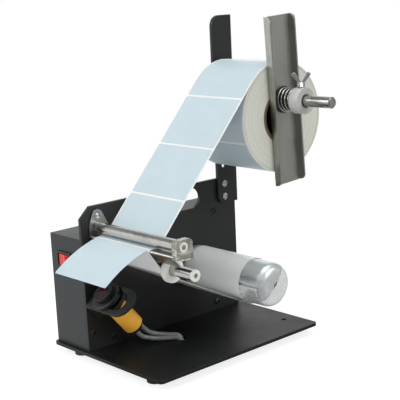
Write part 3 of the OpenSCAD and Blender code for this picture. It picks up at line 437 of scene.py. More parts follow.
def coatedFinish(name, look):
    # black powder coat on sheet steel
    material, tree, body = newFinish(name, look, **{"Specular IOR Level": look["shine"]})
    peel = effect(tree, "coatPeel", Size=look["peel"])
    wearAndHighlight = effect(tree, "edgeWearAndHighlight", Width=look["edge"] * mm)
    dust = effect(tree, "dustFilm", Amount=look["dust"])
    tone = colourBetween(tree, peel["Patches"], look["dark"], look["light"])
    # lighter edges: rubbed wear, and a painted edge highlight
    tone = colourBetween(tree, wearAndHighlight["Mask"], tone, look["rubbedAndLit"], "mask")
    tone = colourBetween(tree, dust["Mask"], tone, look["dustTone"], "mask")
    paint(tree, body, tone, valueBetween(tree, peel["Patches"], *look["gloss"], "coat"))
    raised(tree, body, peel["Height"], look, wearAndHighlight=wearAndHighlight)
    return material


# rubbed is the lighter edge colour: rubbed wear, and a painted edge highlight
coatLook = {"dark": (0.0125, 0.0145, 0.0140), "light": (0.0165, 0.0185, 0.0180), "rubbedAndLit": grey(0.10),
            "dustTone": grey(0.06), "gloss": (0.40, 0.48), "shine": 0.45, "peel": 1000.0, "depth": 0.016,
            "edge": 0.5, "dust": 0.06}
makeFinishes(coatedFinish, {
    "basePlateCoat": {**coatLook, "dark": (0.0065, 0.0078, 0.0074), "light": (0.0095, 0.0110, 0.0106),
                      "shine": 0.30, "dust": 0.03},
    "sidePlateCoat": coatLook,
    "housingCoat": {**coatLook, "dark": (0.018, 0.023, 0.024), "light": (0.023, 0.028, 0.029)},
})


def screwFinish(name, look):
    # turned and plated small steel, or the same blackened
    material, tree, body = newFinish(name, look, Metallic=look["metal"])
    lines = effect(tree, "drawnLines", Stretch=look["stretch"])
    wearAndHighlight = effect(tree, "edgeWearAndHighlight", Width=look["edge"] * mm, Break=500.0)
    tone = colourBetween(tree, lines["Cloud"], look["dark"], look["light"])
    # lighter edges: rubbed wear, and a painted edge highlight
    tone = colourBetween(tree, wearAndHighlight["Mask"], tone, look["rubbedAndLit"], "mask")
    paint(tree, body, tone, valueBetween(tree, lines["Lines"], *look["gloss"]))
    raised(tree, body, lines["Lines"], look, 0.6, wearAndHighlight)
    return material


makeFinishes(screwFinish, {
    "platedScrew": {"metal": 1.0, "dark": (0.62, 0.62, 0.61), "light": (0.78, 0.78, 0.77),
                    "rubbedAndLit": (0.85, 0.85, 0.84), "gloss": (0.16, 0.3), "depth": 0.004, "edge": 0.25,
                    "stretch": grey(900.0)},
    "blackScrew": {"metal": 0.0, "dark": grey(0.012), "light": grey(0.022), "rubbedAndLit": grey(0.2),
                   "gloss": (0.28, 0.4), "depth": 0.006, "edge": 0.25, "stretch": grey(700.0)},
})


def metalFinish(name, look):
    # bright steel with the lines its working leaves
    material, tree, body = newFinish(name, look, Metallic=look.get("metal", 1.0))
    lines = effect(tree, "drawnLines", Stretch=look["stretch"])
    wearAndHighlight = effect(tree, "edgeWearAndHighlight", Width=look["edge"] * mm, Break=300.0)
    tone = colourBetween(tree, lines["Lines"], look["dark"], look["light"])
    tone = colourBetween(tree, lines["Cloud"], look["stain"], tone, "stain")
    # lighter edges: rubbed wear, and a painted edge highlight
    tone = colourBetween(tree, wearAndHighlight["Mask"], tone, look["rubbedAndLit"], "mask")
    gloss = valueBetween(tree, lines["Lines"], *look["gloss"])
    cloudy = valueBetween(tree, lines["Cloud"], -look["smear"], look["smear"])
    paint(tree, body, tone, mathNode(tree, "ADD", gloss, cloudy))
    raised(tree, body, lines["Lines"], look, wearAndHighlight=wearAndHighlight)
    return material


makeFinishes(metalFinish, {
    "tubeSteel": {"dark": (0.48, 0.48, 0.45), "light": (0.64, 0.64, 0.61), "stain": (0.40, 0.39, 0.36),
                  "rubbedAndLit": (0.85, 0.85, 0.83), "gloss": (0.15, 0.24), "smear": 0.03,
                  "stretch": (14.0, 1500.0, 1500.0), "depth": 0.003, "edge": 0.3},
    "shaftSteel": {"dark": (0.38, 0.38, 0.36), "light": (0.50, 0.50, 0.48), "stain": (0.32, 0.31, 0.29),
                   "rubbedAndLit": (0.8, 0.8, 0.78), "gloss": (0.2, 0.3), "smear": 0.04,
                   "stretch": (1800.0, 60.0, 60.0), "depth": 0.003, "edge": 0.4},
    "drumSteel": {"metal": 0.45, "dark": (0.84, 0.87, 0.87), "light": (0.92, 0.94, 0.94),
                  "stain": (0.76, 0.78, 0.78), "rubbedAndLit": (0.94, 0.95, 0.95), "gloss": (0.22, 0.30), "smear": 0.03,
                  "stretch": (24.0, 300.0, 300.0), "depth": 0.001, "edge": 0.05},
    "clipSteel": {"metal": 0.7, "dark": (0.70, 0.74, 0.74), "light": (0.82, 0.86, 0.86),
                  "stain": (0.62, 0.65, 0.65), "rubbedAndLit": grey(0.8), "gloss": (0.30, 0.40), "smear": 0.05,
                  "stretch": (30.0, 300.0, 300.0), "depth": 0.002, "edge": 0.05},
    "channelSteel": {"dark": (0.39, 0.395, 0.36), "light": (0.50, 0.505, 0.465), "stain": (0.37, 0.375, 0.335),
                     "rubbedAndLit": (0.7, 0.7, 0.68), "gloss": (0.30, 0.42), "smear": 0.05,
                     "stretch": (900.0, 900.0, 22.0), "depth": 0.006, "edge": 0.6},
    "peelSteel": {"dark": (0.30, 0.295, 0.275), "light": (0.41, 0.405, 0.38), "stain": (0.25, 0.245, 0.23),
                  "rubbedAndLit": (0.75, 0.75, 0.73), "gloss": (0.28, 0.38), "smear": 0.05,
                  "stretch": (30.0, 1200.0, 1200.0), "depth": 0.004, "edge": 0.4},
    "springSteel": {"dark": (0.62, 0.61, 0.58), "light": (0.76, 0.75, 0.72), "stain": (0.5, 0.49, 0.46),
                    "rubbedAndLit": (0.85, 0.85, 0.83), "gloss": (0.18, 0.26), "smear": 0.03, "stretch": grey(500.0),
                    "depth": 0.002, "edge": 0.1},
    "wingZinc": {"dark": (0.5, 0.5, 0.49), "light": (0.66, 0.66, 0.65), "stain": (0.38, 0.38, 0.37),
                 "rubbedAndLit": (0.8, 0.8, 0.79), "gloss": (0.25, 0.36), "smear": 0.05, "stretch": grey(600.0),
                 "depth": 0.012, "edge": 0.3},
    "castAlloy": {"dark": grey(0.42), "light": grey(0.54), "stain": grey(0.34), "rubbedAndLit": grey(0.7),
                  "gloss": (0.42, 0.55), "smear": 0.04, "stretch": grey(700.0), "depth": 0.02, "edge": 0.4},
    "bushBronze": {"dark": (0.42, 0.27, 0.12), "light": (0.60, 0.41, 0.19), "stain": (0.25, 0.16, 0.08),
                   "rubbedAndLit": (0.75, 0.55, 0.3), "gloss": (0.32, 0.45), "smear": 0.04,
                   "stretch": (900.0, 80.0, 80.0), "depth": 0.008, "edge": 0.3},
})


def plasticFinish(name, look):
    # moulded or turned plastic; through lets a little light into pale nylon
    inner = {"Subsurface Weight": look["through"], "Subsurface Radius": look["reach"]} if "through" in look else {}
    material, tree, body = newFinish(name, look, **inner)
    skin = effect(tree, "mouldSkin", Size=look["size"])
    wearAndHighlight = effect(tree, "edgeWearAndHighlight", Width=look["edge"] * mm, Break=400.0)
    tone = colourBetween(tree, skin["Gloss"], look["dark"], look["light"])
    # lighter edges: rubbed wear, and a painted edge highlight
    tone = colourBetween(tree, wearAndHighlight["Mask"], tone, look["rubbedAndLit"], "mask")
    paint(tree, body, tone, valueBetween(tree, skin["Gloss"], *look["gloss"]))
    raised(tree, body, skin["Height"], look, wearAndHighlight=wearAndHighlight)
    return material


makeFinishes(plasticFinish, {
    "collarGrey": {"dark": (0.42, 0.43, 0.415), "light": (0.48, 0.49, 0.475), "rubbedAndLit": (0.56, 0.57, 0.56),
                   "gloss": (0.38, 0.5), "size": 1800.0, "depth": 0.012, "edge": 0.5},
    "nylonWhite": {"dark": (0.70, 0.70, 0.66), "light": (0.78, 0.78, 0.75), "rubbedAndLit": (0.86, 0.86, 0.84),
                   "gloss": (0.32, 0.45), "size": 1500.0, "depth": 0.008, "edge": 0.4, "through": 0.25,
                   "reach": (0.003, 0.003, 0.0025)},
    "blackNylon": {"dark": (0.012, 0.012, 0.013), "light": (0.020, 0.020, 0.021), "rubbedAndLit": grey(0.08),
                   "gloss": (0.28, 0.42), "size": 2000.0, "depth": 0.012, "edge": 0.4},
    "footRubber": {"dark": grey(0.014), "light": (0.028, 0.028, 0.027), "rubbedAndLit": grey(0.06),
                   "gloss": (0.6, 0.78), "size": 1200.0, "depth": 0.03, "edge": 0.5},
    "barrelOrange": {"dark": (0.95, 0.44, 0.05), "light": (1.0, 0.53, 0.07), "rubbedAndLit": (0.95, 0.6, 0.15),
                     "gloss": (0.14, 0.24), "size": 900.0, "depth": 0.004, "edge": 0.5},
    "rockerRed": {"dark": (0.62, 0.02, 0.015), "light": (0.72, 0.035, 0.025), "rubbedAndLit": (0.8, 0.15, 0.1),
                  "gloss": (0.18, 0.28), "size": 1500.0, "depth": 0.003, "edge": 0.4},
    "leadSheath": {"dark": (0.20, 0.205, 0.205), "light": (0.26, 0.265, 0.265), "rubbedAndLit": grey(0.2),
                   "gloss": (0.26, 0.38), "size": 1300.0, "depth": 0.012, "edge": 0.1},
    "plugWhite": {"dark": (0.66, 0.65, 0.6), "light": (0.74, 0.73, 0.68), "rubbedAndLit": (0.8, 0.8, 0.78),
                  "gloss": (0.4, 0.5), "size": 1500.0, "depth": 0.01, "edge": 0.3},
    "motorPaint": {"dark": (0.05, 0.05, 0.055), "light": (0.075, 0.075, 0.08), "rubbedAndLit": grey(0.3),
                   "gloss": (0.35, 0.48), "size": 900.0, "depth": 0.03, "edge": 0.6},
    "boardGreen": {"dark": (0.015, 0.12, 0.045), "light": (0.03, 0.2, 0.08), "rubbedAndLit": (0.3, 0.35, 0.2),
                   "gloss": (0.25, 0.4), "size": 500.0, "depth": 0.02, "edge": 0.2},
    "coilTape": {"dark": (0.58, 0.42, 0.06), "light": (0.72, 0.55, 0.1), "rubbedAndLit": (0.8, 0.66, 0.25),
                 "gloss": (0.3, 0.45), "size": 600.0, "depth": 0.03, "edge": 0.3},
    "canSleeve": {"dark": (0.03, 0.055, 0.2), "light": (0.05, 0.08, 0.27), "rubbedAndLit": grey(0.5),
                  "gloss": (0.16, 0.26), "size": 900.0, "depth": 0.008, "edge": 0.3},
})


def clearFinish(name, look):
    material, tree, body = newFinish(name, look, **{"Transmission Weight": look["through"], "IOR": look["bending"]})
    skin = effect(tree, "mouldSkin", Size=look["size"])
    tone = colourBetween(tree, skin["Gloss"], look["dark"], look["light"])
    paint(tree, body, tone, valueBetween(tree, skin["Gloss"], *look["gloss"]))
    raised(tree, body, skin["Height"], look, wearAndHighlight=effect(tree, "edgeWearAndHighlight", Width=look["edge"] * mm))
    return material


makeFinishes(clearFinish, {
    "clearBlock": {"dark": (0.68, 0.68, 0.60), "light": (0.78, 0.78, 0.70), "through": 0.85, "bending": 1.49,
                   "gloss": (0.12, 0.24), "size": 700.0, "depth": 0.006, "edge": 0.5},
    "lensDark": {"dark": (0.03, 0.012, 0.014), "light": (0.06, 0.02, 0.024), "through": 0.3, "bending": 1.49,
                 "gloss": (0.05, 0.12), "size": 500.0, "depth": 0.002, "edge": 0.5},
})


def paperFinish(name, look):
    material, tree, body = newFinish(name, look, **{"Specular IOR Level": look["shine"]})
    paper = effect(tree, "paperFibre", Size=look["size"])
    tone = colourBetween(tree, paper["Cloud"], look["dark"], look["light"])
    tone = colourBetween(tree, paper["Fibres"], look["fibre"], tone, "fibres")
    paint(tree, body, tone, valueBetween(tree, paper["Cloud"], *look["gloss"]))
    raised(tree, body, paper["Fibres"], look)
    return material


makeFinishes(paperFinish, {
    "labelPaper": {"dark": (0.50, 0.60, 0.65), "light": (0.525, 0.625, 0.675), "fibre": (0.485, 0.585, 0.635),
                   "gloss": (0.40, 0.48), "shine": 0.4, "size": 900.0, "depth": 0.006},
    "linerPaper": {"dark": (0.78, 0.80, 0.80), "light": (0.82, 0.83, 0.83), "fibre": (0.74, 0.76, 0.76),
                   "gloss": (0.28, 0.36), "shine": 0.5, "size": 600.0, "depth": 0.008},
    # the same paper as linerPaper, made paler on the drum: painted light that stands in for the light the wound
    # liner catches
    "paintedLitWoundLiner": {"dark": (0.90, 0.925, 0.91), "light": (0.94, 0.96, 0.945), "fibre": (0.86, 0.885, 0.87),
                   "gloss": (0.30, 0.38), "shine": 0.5, "size": 500.0, "depth": 0.01},
    "coreBoard": {"dark": (0.10, 0.078, 0.055), "light": (0.16, 0.12, 0.085), "fibre": (0.08, 0.06, 0.045),
                  "gloss": (0.75, 0.85), "shine": 0.2, "size": 450.0, "depth": 0.03},
})


def woundFinish(name, look):
    # the side of a roll, where the layers' edges show
    material, tree, body = newFinish(name, look, **{"Specular IOR Level": look["shine"]})
    rings = effect(tree, "windRings", Centre=look["centre"])
    tone = colourBetween(tree, rings["Layers"], look["dark"], look["light"], "layers")
    tone = colourBetween(tree, rings["Bands"], look["band"], tone, "bands")
    tone = colourBetween(tree, rings["Specks"], look["speck"], tone, "specks")
    paint(tree, body, tone)
    raised(tree, body, rings["Layers"], look)
    return material


rollAt = (170.7, 194.3)
makeFinishes(woundFinish, {
    "rollSide": {"dark": (0.47, 0.475, 0.415), "light": (0.70, 0.705, 0.63), "band": (0.50, 0.505, 0.445),
                 "speck": (0.36, 0.36, 0.33), "gloss": (0.62,), "shine": 0.25, "depth": 0.10,
                 "centre": tuple(place(0, *rollAt))},
})
print("finishes: %d" % len(finishes))

# the web's course, from the roll over the rollers to the drum, in mm in the plate's own Y and Z

web = {
    "rollR": 50.0, "guideAt": (17.2, 110.6), "lowerAt": (27.5, 85.0), "rollerR": 5.0, "noseAt": (9.6, 103.0),
    "noseR": 1.2, "drumAt": (128.5, 51.2), "drumR": 20.0, "linerTurns": 0.35, "clear": 0.3, "film": 0.1,
    "seat": 0.03, "underLabel": 0.01, "webThick": 0.25, "labelThick": 0.15, "webX": (9.3, 81.8),
    "labelX": (11.05, 80.05), "labelLong": 50.8, "labelGap": 2.0, "firstLabel": 17.0, "labels": 3, "cornerR": 1.4,
    "liftLead": 38.5, "liftTail": 26.0, "leadSteps": 16, "bendSteps": 14, "tailSteps": 12, "rowStep": 2.4,
    "columns": 14, "wander": 0.12, "wanderPace": 0.06,
}
labelMid = sum(web["labelX"]) / 2
labelHalf = (web["labelX"][1] - web["labelX"][0]) / 2


def heading(a, b):
    dy, dz = b[0][0] - a[0][0], b[0][1] - a[0][1]
    lean = (b[2] * b[1] - a[2] * a[1]) / math.hypot(dy, dz)
    return (math.degrees(math.atan2(dz, dy)) - math.degrees(math.asin(lean)) + 360) % 360


def leftOf(h):
    return -math.sin(math.radians(h)), math.cos(math.radians(h))


def touch(stop, h):
    n = leftOf(h)
    return (stop[0][0] - stop[2] * stop[1] * n[0], stop[0][1] - stop[2] * stop[1] * n[1]), n


def settled(stop, h, f):
    # a point that comes down onto its roll as f goes from 0 to 1
    (y, z), n = touch(stop, h)
    sink = (web["clear"] - web["seat"]) * math.sin(f * math.pi / 2) ** 2
    return (y + n[0] * sink, z + n[1] * sink), n


# centre, radius and side of each thing that the web bends round
stops = [(rollAt, web["rollR"] + web["clear"], 1),
         (web["guideAt"], web["rollerR"] + web["clear"] + web["webThick"] + web["labelThick"], -1),
         (web["noseAt"], web["noseR"] + web["film"], 1),
         (web["lowerAt"], web["rollerR"] + web["clear"], 1),
         (web["drumAt"], web["drumR"] + web["clear"] * 2 + web["linerTurns"], 1)]
heads = [heading(stops[i], stops[i + 1]) for i in range(4)]


def webCourse():
    # the CAD web's own course, led on over the roll and the drum until it lies on them
    leadTurn = math.degrees(web["liftLead"] / stops[0][1])
    tailTurn = math.degrees(web["liftTail"] / stops[4][1])
    points = []
    for k in range(web["leadSteps"] + 1):
        f = 1 - k / web["leadSteps"]
        points.append(settled(stops[0], heads[0] - leadTurn * f, f))
    for i in (1, 2, 3):
        turn = heads[i] - heads[i - 1]
        if turn < -180:
            turn += 360
        for k in range(web["bendSteps"] + 1):
            points.append(touch(stops[i], heads[i - 1] + turn * k / web["bendSteps"]))
    for k in range(web["tailSteps"] + 1):
        f = k / web["tailSteps"]
        points.append(settled(stops[4], heads[3] + tailTurn * f, f))
    run = [0.0]
    for (here, _), (there, _) in zip(points, points[1:]):
        run.append(run[-1] + math.dist(here, there))
    return points, run


coursePoints, courseRun = webCourse()
rollRun, guideRun = courseRun[web["leadSteps"]], courseRun[web["leadSteps"] + 1]
noseRun = courseRun[web["leadSteps"] + 2 * (web["bendSteps"] + 1)]
lowerRun, drumRun = courseRun[-web["tailSteps"] - 2], courseRun[-web["tailSteps"] - 1]
webEnd = courseRun[-1]


def onCourse(s):
    s = min(max(s, 0.0), webEnd)
    i = max(k for k in range(len(courseRun) - 1) if courseRun[k] <= s + 1e-9)
    f = (s - courseRun[i]) / (courseRun[i + 1] - courseRun[i])
    (p0, n0), (p1, n1) = coursePoints[i], coursePoints[i + 1]
    n = Vector((n0[0] + (n1[0] - n0[0]) * f, n0[1] + (n1[1] - n0[1]) * f)).normalized()
    return Vector((p0[0] + (p1[0] - p0[0]) * f, p0[1] + (p1[1] - p0[1]) * f)), n


# waves: pace over x, pace along the web, seed, share
rippleSet = {"high": 0.16, "waves": ((0.035, 0.02, 3.7, 1.0), (0.09, 0.05, 9.1, 0.4)),
             "edgeShare": 0.5, "mid": 45.5, "half": 36.0, "edgePower": 4}


def webRipple(s, x):
    # slack paper isn't dead flat between its rollers
    r = rippleSet
    free = 0.0
    for a, b in ((rollRun, guideRun), (lowerRun, drumRun)):
        if a < s < b:
            free = math.sin(math.pi * (s - a) / (b - a))
    wave = sum(share * noise.noise(Vector((x * across, s * along, seed)))
               for across, along, seed, share in r["waves"])
    edge = ((x - r["mid"]) / r["half"]) ** r["edgePower"]
    return r["high"] * free * (wave + r["edgeShare"] * edge)


def pointOnWeb(s, x, lift):
    p, n = onCourse(s)
    away = lift + webRipple(s, x)
    return place(x, p[0] - n[0] * away, p[1] - n[1] * away)


sharpAngle = math.radians(38)


def newPiece(name, shape, finish, body, replaced):
    mesh = bpy.data.meshes.new(name)
    mesh.from_pydata([tuple(v) for v in shape[0]], [], shape[1])
    mesh.validate()
    bm = bmesh.new()
    bm.from_mesh(mesh)
    bmesh.ops.recalc_face_normals(bm, faces=bm.faces)
    bm.to_mesh(mesh)
    bm.free()
    for polygon in mesh.polygons:
        polygon.use_smooth = True
    mesh.materials.append(finishes[finish])
    piece = bpy.data.objects.new(name, mesh)
    bpy.context.scene.collection.objects.link(piece)
    mesh.set_sharp_from_angle(angle=sharpAngle)
    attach(piece, body)
    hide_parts(replaced)
    return piece


def sheetMesh(rows):
    # rows of (top, bottom) pairs; gives a closed thin sheet
    wide, long = len(rows[0]), len(rows)
    verts = [pair[0] for row in rows for pair in row] + [pair[1] for row in rows for pair in row]
    under = wide * long
    faces = []
    for r in range(long - 1):
        for a in range(r * wide, r * wide + wide - 1):
            quad = (a, a + 1, a + wide + 1, a + wide)
            faces += [quad, tuple(under + i for i in (quad[3], quad[2], quad[1], quad[0]))]
    rim = [c for c in range(wide)] + [r * wide + wide - 1 for r in range(1, long)] \
        + [(long - 1) * wide + c for c in range(wide - 2, -1, -1)] + [r * wide for r in range(long - 2, 0, -1)]
    for a, b in zip(rim, rim[1:] + rim[:1]):
        faces.append((b, a, under + a, under + b))
    return verts, faces


cornerSteps = 5


def cutRows(long, step):
    # distances along a die-cut label and its half width there, round at the corners
    corner = web["cornerR"]
    turns = [a * math.pi / 2 / cornerSteps for a in range(cornerSteps + 1)]
    marks = [(corner * (1 - math.cos(t)), labelHalf - corner + corner * math.sin(t)) for t in turns]
    inner = max(2, int((long - 2 * corner) / step))
    marks += [(corner + (long - 2 * corner) * k / inner, labelHalf) for k in range(1, inner)]
    return marks + [(long - s, w) for s, w in reversed(marks[:cornerSteps + 1])]


def joinSheets(sheets):
    verts, faces = [], []
    for v, f in sheets:
        faces += [tuple(i + len(verts) for i in face) for face in f]
        verts += v
    return verts, faces


def makeWeb():
    x0, x1 = web["webX"]
    count = int(webEnd / web["rowStep"])
    marks = sorted(set([webEnd * k / count for k in range(count + 1)] + [r for r in courseRun if r < webEnd]))
    rows = []
    for s in marks:
        row = []
        for c in range(web["columns"] + 1):
            x = x0 + (x1 - x0) * c / web["columns"]
            if c in (0, web["columns"]):  # a slit edge wanders a little
                inward = web["wander"] if c == 0 else -web["wander"]
                x += inward * (0.5 + 0.5 * noise.noise(Vector((s * web["wanderPace"], c, 1.3))))
            row.append((pointOnWeb(s, x, web["webThick"] - web["underLabel"]), pointOnWeb(s, x, web["seat"])))
        rows.append(row)
    newPiece("linerWeb", sheetMesh(rows), "linerPaper", "frame", "liner_web")


def labelOnWeb(start, end):
    half = web["columns"] // 2
    lifts = (web["webThick"] + web["labelThick"], web["webThick"])
    return sheetMesh([[tuple(pointOnWeb(start + s, labelMid + w * c / half, lift) for lift in lifts)
                       for c in range(-half, half + 1)] for s, w in cutRows(end - start, web["rowStep"])])


def makeWebLabels():
    first = rollRun + web["firstLabel"]
    sheets = [labelOnWeb(first - web["labelLong"], first)]
    for k in range(web["labels"]):
        start = first + web["labelGap"] + k * (web["labelLong"] + web["labelGap"])
        sheets.append(labelOnWeb(start, min(start + web["labelLong"], noseRun - web["labelGap"])))
    newPiece("webLabels", joinSheets(sheets), "labelPaper", "frame", "web_labels")


droopSet = {"start": 12.5, "turn": 25.0, "lift": 0.1, "thick": 0.16, "curl": 0.45, "innerCurl": 0.5, "columns": 18}


def makeDroopingLabel():
    d = droopSet
    radius = web["labelLong"] / math.radians(d["turn"])
    nose = web["noseAt"]
    foot = (nose[0] - web["noseR"], nose[1] + web["noseR"] + web["film"] + web["webThick"] + d["lift"])
    n0 = leftOf(180 + d["start"])
    centre = (foot[0] + radius * n0[0], foot[1] + radius * n0[1])
    half = d["columns"] // 2
    rows = []
    for s, w in cutRows(web["labelLong"], web["rowStep"]):
        f = s / web["labelLong"]
        n = leftOf(180 + d["start"] + d["turn"] * f)
        row = []
        for c in range(-half, half + 1):
            x = w * c / half
            curl = d["curl"] * f * (x / labelHalf) ** 2 * (1 if x > 0 else d["innerCurl"])
            row.append(tuple(place(labelMid + x, *(centre[i] - (radius + t - curl) * n[i] for i in (0, 1)))
                             for t in (d["thick"], 0.0)))
        rows.append(row)
    newPiece("droopingLabel", sheetMesh(rows), "labelPaper", "frame", "dispensed_label")


makeWeb()
makeWebLabels()
makeDroopingLabel()
print("web: liner, labels on it and the label just peeled")

# the roll and the liner wound on the drum


def roundAt(centre, x, radius, angle):
    return place(x, centre[0] + radius * math.cos(angle), centre[1] + radius * math.sin(angle))


# steps: where between core and rim the layers have slipped, and how far
rollSet = {"x": (9.3, 81.8), "outer": 49.84, "inner": 24.06, "rings": 64, "around": 144, "slip": 0.22,
           "rimSlip": 0.05, "creepPace": 46.0, "creepMost": 1.6, "stepGain": 2.5, "stepWide": 0.012,
           "steps": ((0.18, 0.10), (0.47, 0.16), (0.63, 0.08), (0.86, 0.12)), "rimDepth": 0.1, "rimLean": 0.3}
rollLabelSet = {"gapAt": -157.5, "rowStep": 1.8, "columns": 10, "leastTurn": 0.2}


def ringSlip(radius, angle, side):
    # layers that have crept a little sideways, in coils and not in rings
    r = rollSet
    f = (radius - r["inner"]) / (r["outer"] - r["inner"]) + angle / (2 * math.pi) / r["rings"]
    creep = 0.5 + 0.5 * noise.noise(Vector((f * r["creepPace"], side * 5.0, 0.3)))
    for at, deep in r["steps"]:
        creep += deep * r["stepGain"] * math.exp(-((f - at) / r["stepWide"]) ** 2)
    return min(creep, r["creepMost"]) * r["slip"] / r["creepMost"]


def makeLabelRoll():
    r = rollSet
    rings, around = r["rings"], r["around"]
    verts, faces = [], []
    for side, x in enumerate(r["x"]):
        for k in range(rings + 1):
            radius = r["inner"] + (r["outer"] - r["inner"]) * k / rings
            for a in range(around):
                t = 2 * math.pi * a / around
                slip = ringSlip(radius, t, side) if 0 < k < rings else r["rimSlip"]
                verts.append(roundAt(rollAt, x + (-slip if side else slip), radius, t))
    base = (rings + 1) * around
    for first in (0, base):
        for k in range(rings):
            for a in range(around):
                here, there = first + k * around, first + (k + 1) * around
                b = (a + 1) % around
                faces.append((here + a, here + b, there + b, there + a))
    for rim in (0, rings * around):
        for a in range(around):
            b = (a + 1) % around
            faces.append((rim + a, rim + b, base + rim + b, base + rim + a))
    roll = newPiece("labelRoll", (verts, faces), "rollSide", "roll", "label_roll")
    roll.data.materials.append(finishes["linerPaper"])
    centre = place(0, *rollAt)
    for polygon in roll.data.polygons:
        reach = max(math.hypot(*(roll.data.vertices[i].co - centre).yz) for i in polygon.vertices)
        if abs(polygon.normal.x) < r["rimLean"] and reach > (r["outer"] - r["rimDepth"]) * mm:
            polygon.material_index = 1


def makeRollLabels():
    r = rollLabelSet
    outer, half = rollSet["outer"], r["columns"] // 2
    gapTurn, labelTurn = web["labelGap"] / outer, web["labelLong"] / outer
    start = math.radians(r["gapAt"]) + gapTurn / 2
    sheets = []
    turned = 0.0
    while turned < 2 * math.pi - r["leastTurn"]:
        turn = min(labelTurn, 2 * math.pi - gapTurn - turned)
        sheets.append(sheetMesh([[tuple(roundAt(rollAt, labelMid + w * c / half, rad, start + turned + s / outer)
                                        for rad in (outer + web["labelThick"], outer))
                                  for c in range(-half, half + 1)] for s, w in cutRows(turn * outer, r["rowStep"])]))
        turned += labelTurn + gapTurn
    newPiece("rollLabels", joinSheets(sheets), "labelPaper", "roll", "label_roll")


drumLinerSet = {"x": (9.3, 81.8), "inset": 0.3, "inner": 20.32, "outer": 20.64, "turns": 3, "packed": 0.92,
                "startAt": 200, "wander": 0.25, "wanderPace": 0.05, "around": 96, "columns": 8}


def makeDrumLiner():
    d = drumLinerSet
    steps = d["turns"] * d["around"]
    layer = (d["outer"] - d["inner"]) / d["turns"]
    rows = []
    for i in range(steps + 1):
        t = math.radians(d["startAt"]) - 2 * math.pi * i / d["around"]
        inner = d["inner"] + (d["outer"] - d["inner"] - layer) * i / steps
        off = d["wander"] * noise.noise(Vector((i * d["wanderPace"], 4.4, 0.7)))
        row = []
        for c in range(d["columns"] + 1):
            x = d["x"][0] + d["inset"] + (d["x"][1] - d["x"][0] - d["inset"] * 2) * c / d["columns"] + off
            row.append(tuple(roundAt(web["drumAt"], x, rad, t) for rad in (inner + layer * d["packed"], inner)))
        rows.append(row)
    newPiece("drumLiner", sheetMesh(rows), "paintedLitWoundLiner", "takeup", "takeup_liner")


makeLabelRoll()
makeRollLabels()
makeDrumLiner()
print("roll: wound side, outer labels, liner on the drum")

# the channel's spring and the sensor's lead

springSet = {"x": (84.7, 100.0), "at": (170.7, 210.0), "wire": 1.1, "turns": 4, "bigR": 11.0, "smallR": 9.2,
             "stepsPerTurn": 28, "sides": 10, "keep": 0.477, "anchorX": 100.1}


def sweep(points, radius, sides, firstSide):
    # a closed tube through points, without twist
    verts, faces = [], []
    side = Vector(firstSide)
    for i, p in enumerate(points):
        along = (points[min(i + 1, len(points) - 1)] - points[max(i - 1, 0)]).normalized()
        side = (side - along * side.dot(along)).normalized()
        cross = along.cross(side)
        turns = [2 * math.pi * k / sides for k in range(sides)]
        verts += [p + (side * math.cos(t) + cross * math.sin(t)) * radius for t in turns]
    for i in range(len(points) - 1):
        for k in range(sides):
            m = (k + 1) % sides
            faces.append((i * sides + k, i * sides + m, (i + 1) * sides + m, (i + 1) * sides + k))
    faces.append(tuple(range(sides - 1, -1, -1)))
    faces.append(tuple(range((len(points) - 1) * sides, len(points) * sides)))
    return verts, faces


def makeSpring():
    s = springSet
    wire = s["wire"] * mm
    x0, x1 = (place(x, *s["at"]).x for x in s["x"])
    x0, x1 = x0 + wire / 2, x1 - wire / 2
    centre = place(0, *s["at"])
    steps = s["turns"] * s["stepsPerTurn"]
    points = []
    for i in range(steps + 1):
        f = i / steps
        t = 2 * math.pi * s["turns"] * f
        r = (s["bigR"] + (s["smallR"] - s["bigR"]) * f) * mm
        points.append(Vector((x0 + (x1 - x0) * f, centre.y + r * math.cos(t), centre.z + r * math.sin(t))))
    spring = newPiece("coneSpring", sweep(points, wire / 2, s["sides"], (1, 0, 0)), "springSteel", "collar",
                      "clamp_spring")
    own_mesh(spring)


leadSet = {"thick": 4.2, "seat": 0.3, "sides": 14, "smooth": 6, "firstSide": (1, 0.2, 0.3)}
sensorSet = {"at": (20.0, 36.0, 20.0), "tilt": 50.0, "bootLong": 4.0}
# each strand: how far off the boot's middle it starts, and the places it passes
leadRoutes = {
    4.5: [(20.3, 47, 14.2), (20.9, 53, 8.9), (23.6, 62, 5.4), (28.6, 70, 3.6), (32.6, 76, 2.6), (34.2, 78.4, -1.6),
          (31.6, 79.6, -5.6), (25, 79.4, -6.2), (6, 77, -6.2), (-12, 74, -6.2), (-18.6, 73.6, -4.4),
          (-20, 73.6, 1), (-20, 73.6, 9), (-23, 73.6, 17), (-27.8, 73.6, 25), (-31.2, 73.6, 25.5)],
    -2.0: [(20.4, 43.6, 7.9), (23, 51, 4.6), (26.5, 59.5, 2.6), (32.4, 67.6, 2.3), (36, 72.8, 2),
           (37.4, 75.2, -1.6), (35, 75.2, -5.6), (28, 74.4, -6.2), (8, 71.4, -6.2), (-12, 69, -6.2),
           (-18.6, 68.6, -4.4), (-20, 68.6, 1), (-20, 68.6, 9), (-23, 68.6, 17), (-27.8, 68.6, 25),
           (-31.2, 68.6, 25.5)]}


def bendThrough(points, n):
    out = []
    for i in range(len(points) - 1):
        a, b, c, d = points[max(i - 1, 0)], points[i], points[i + 1], points[min(i + 2, len(points) - 1)]
        for t in (k / n for k in range(n)):
            out.append(0.5 * (2 * b + (c - a) * t + (2 * a - 5 * b + 4 * c - d) * t * t
                              + (3 * b - a - 3 * c + d) * t ** 3))
    return out + [points[-1]]


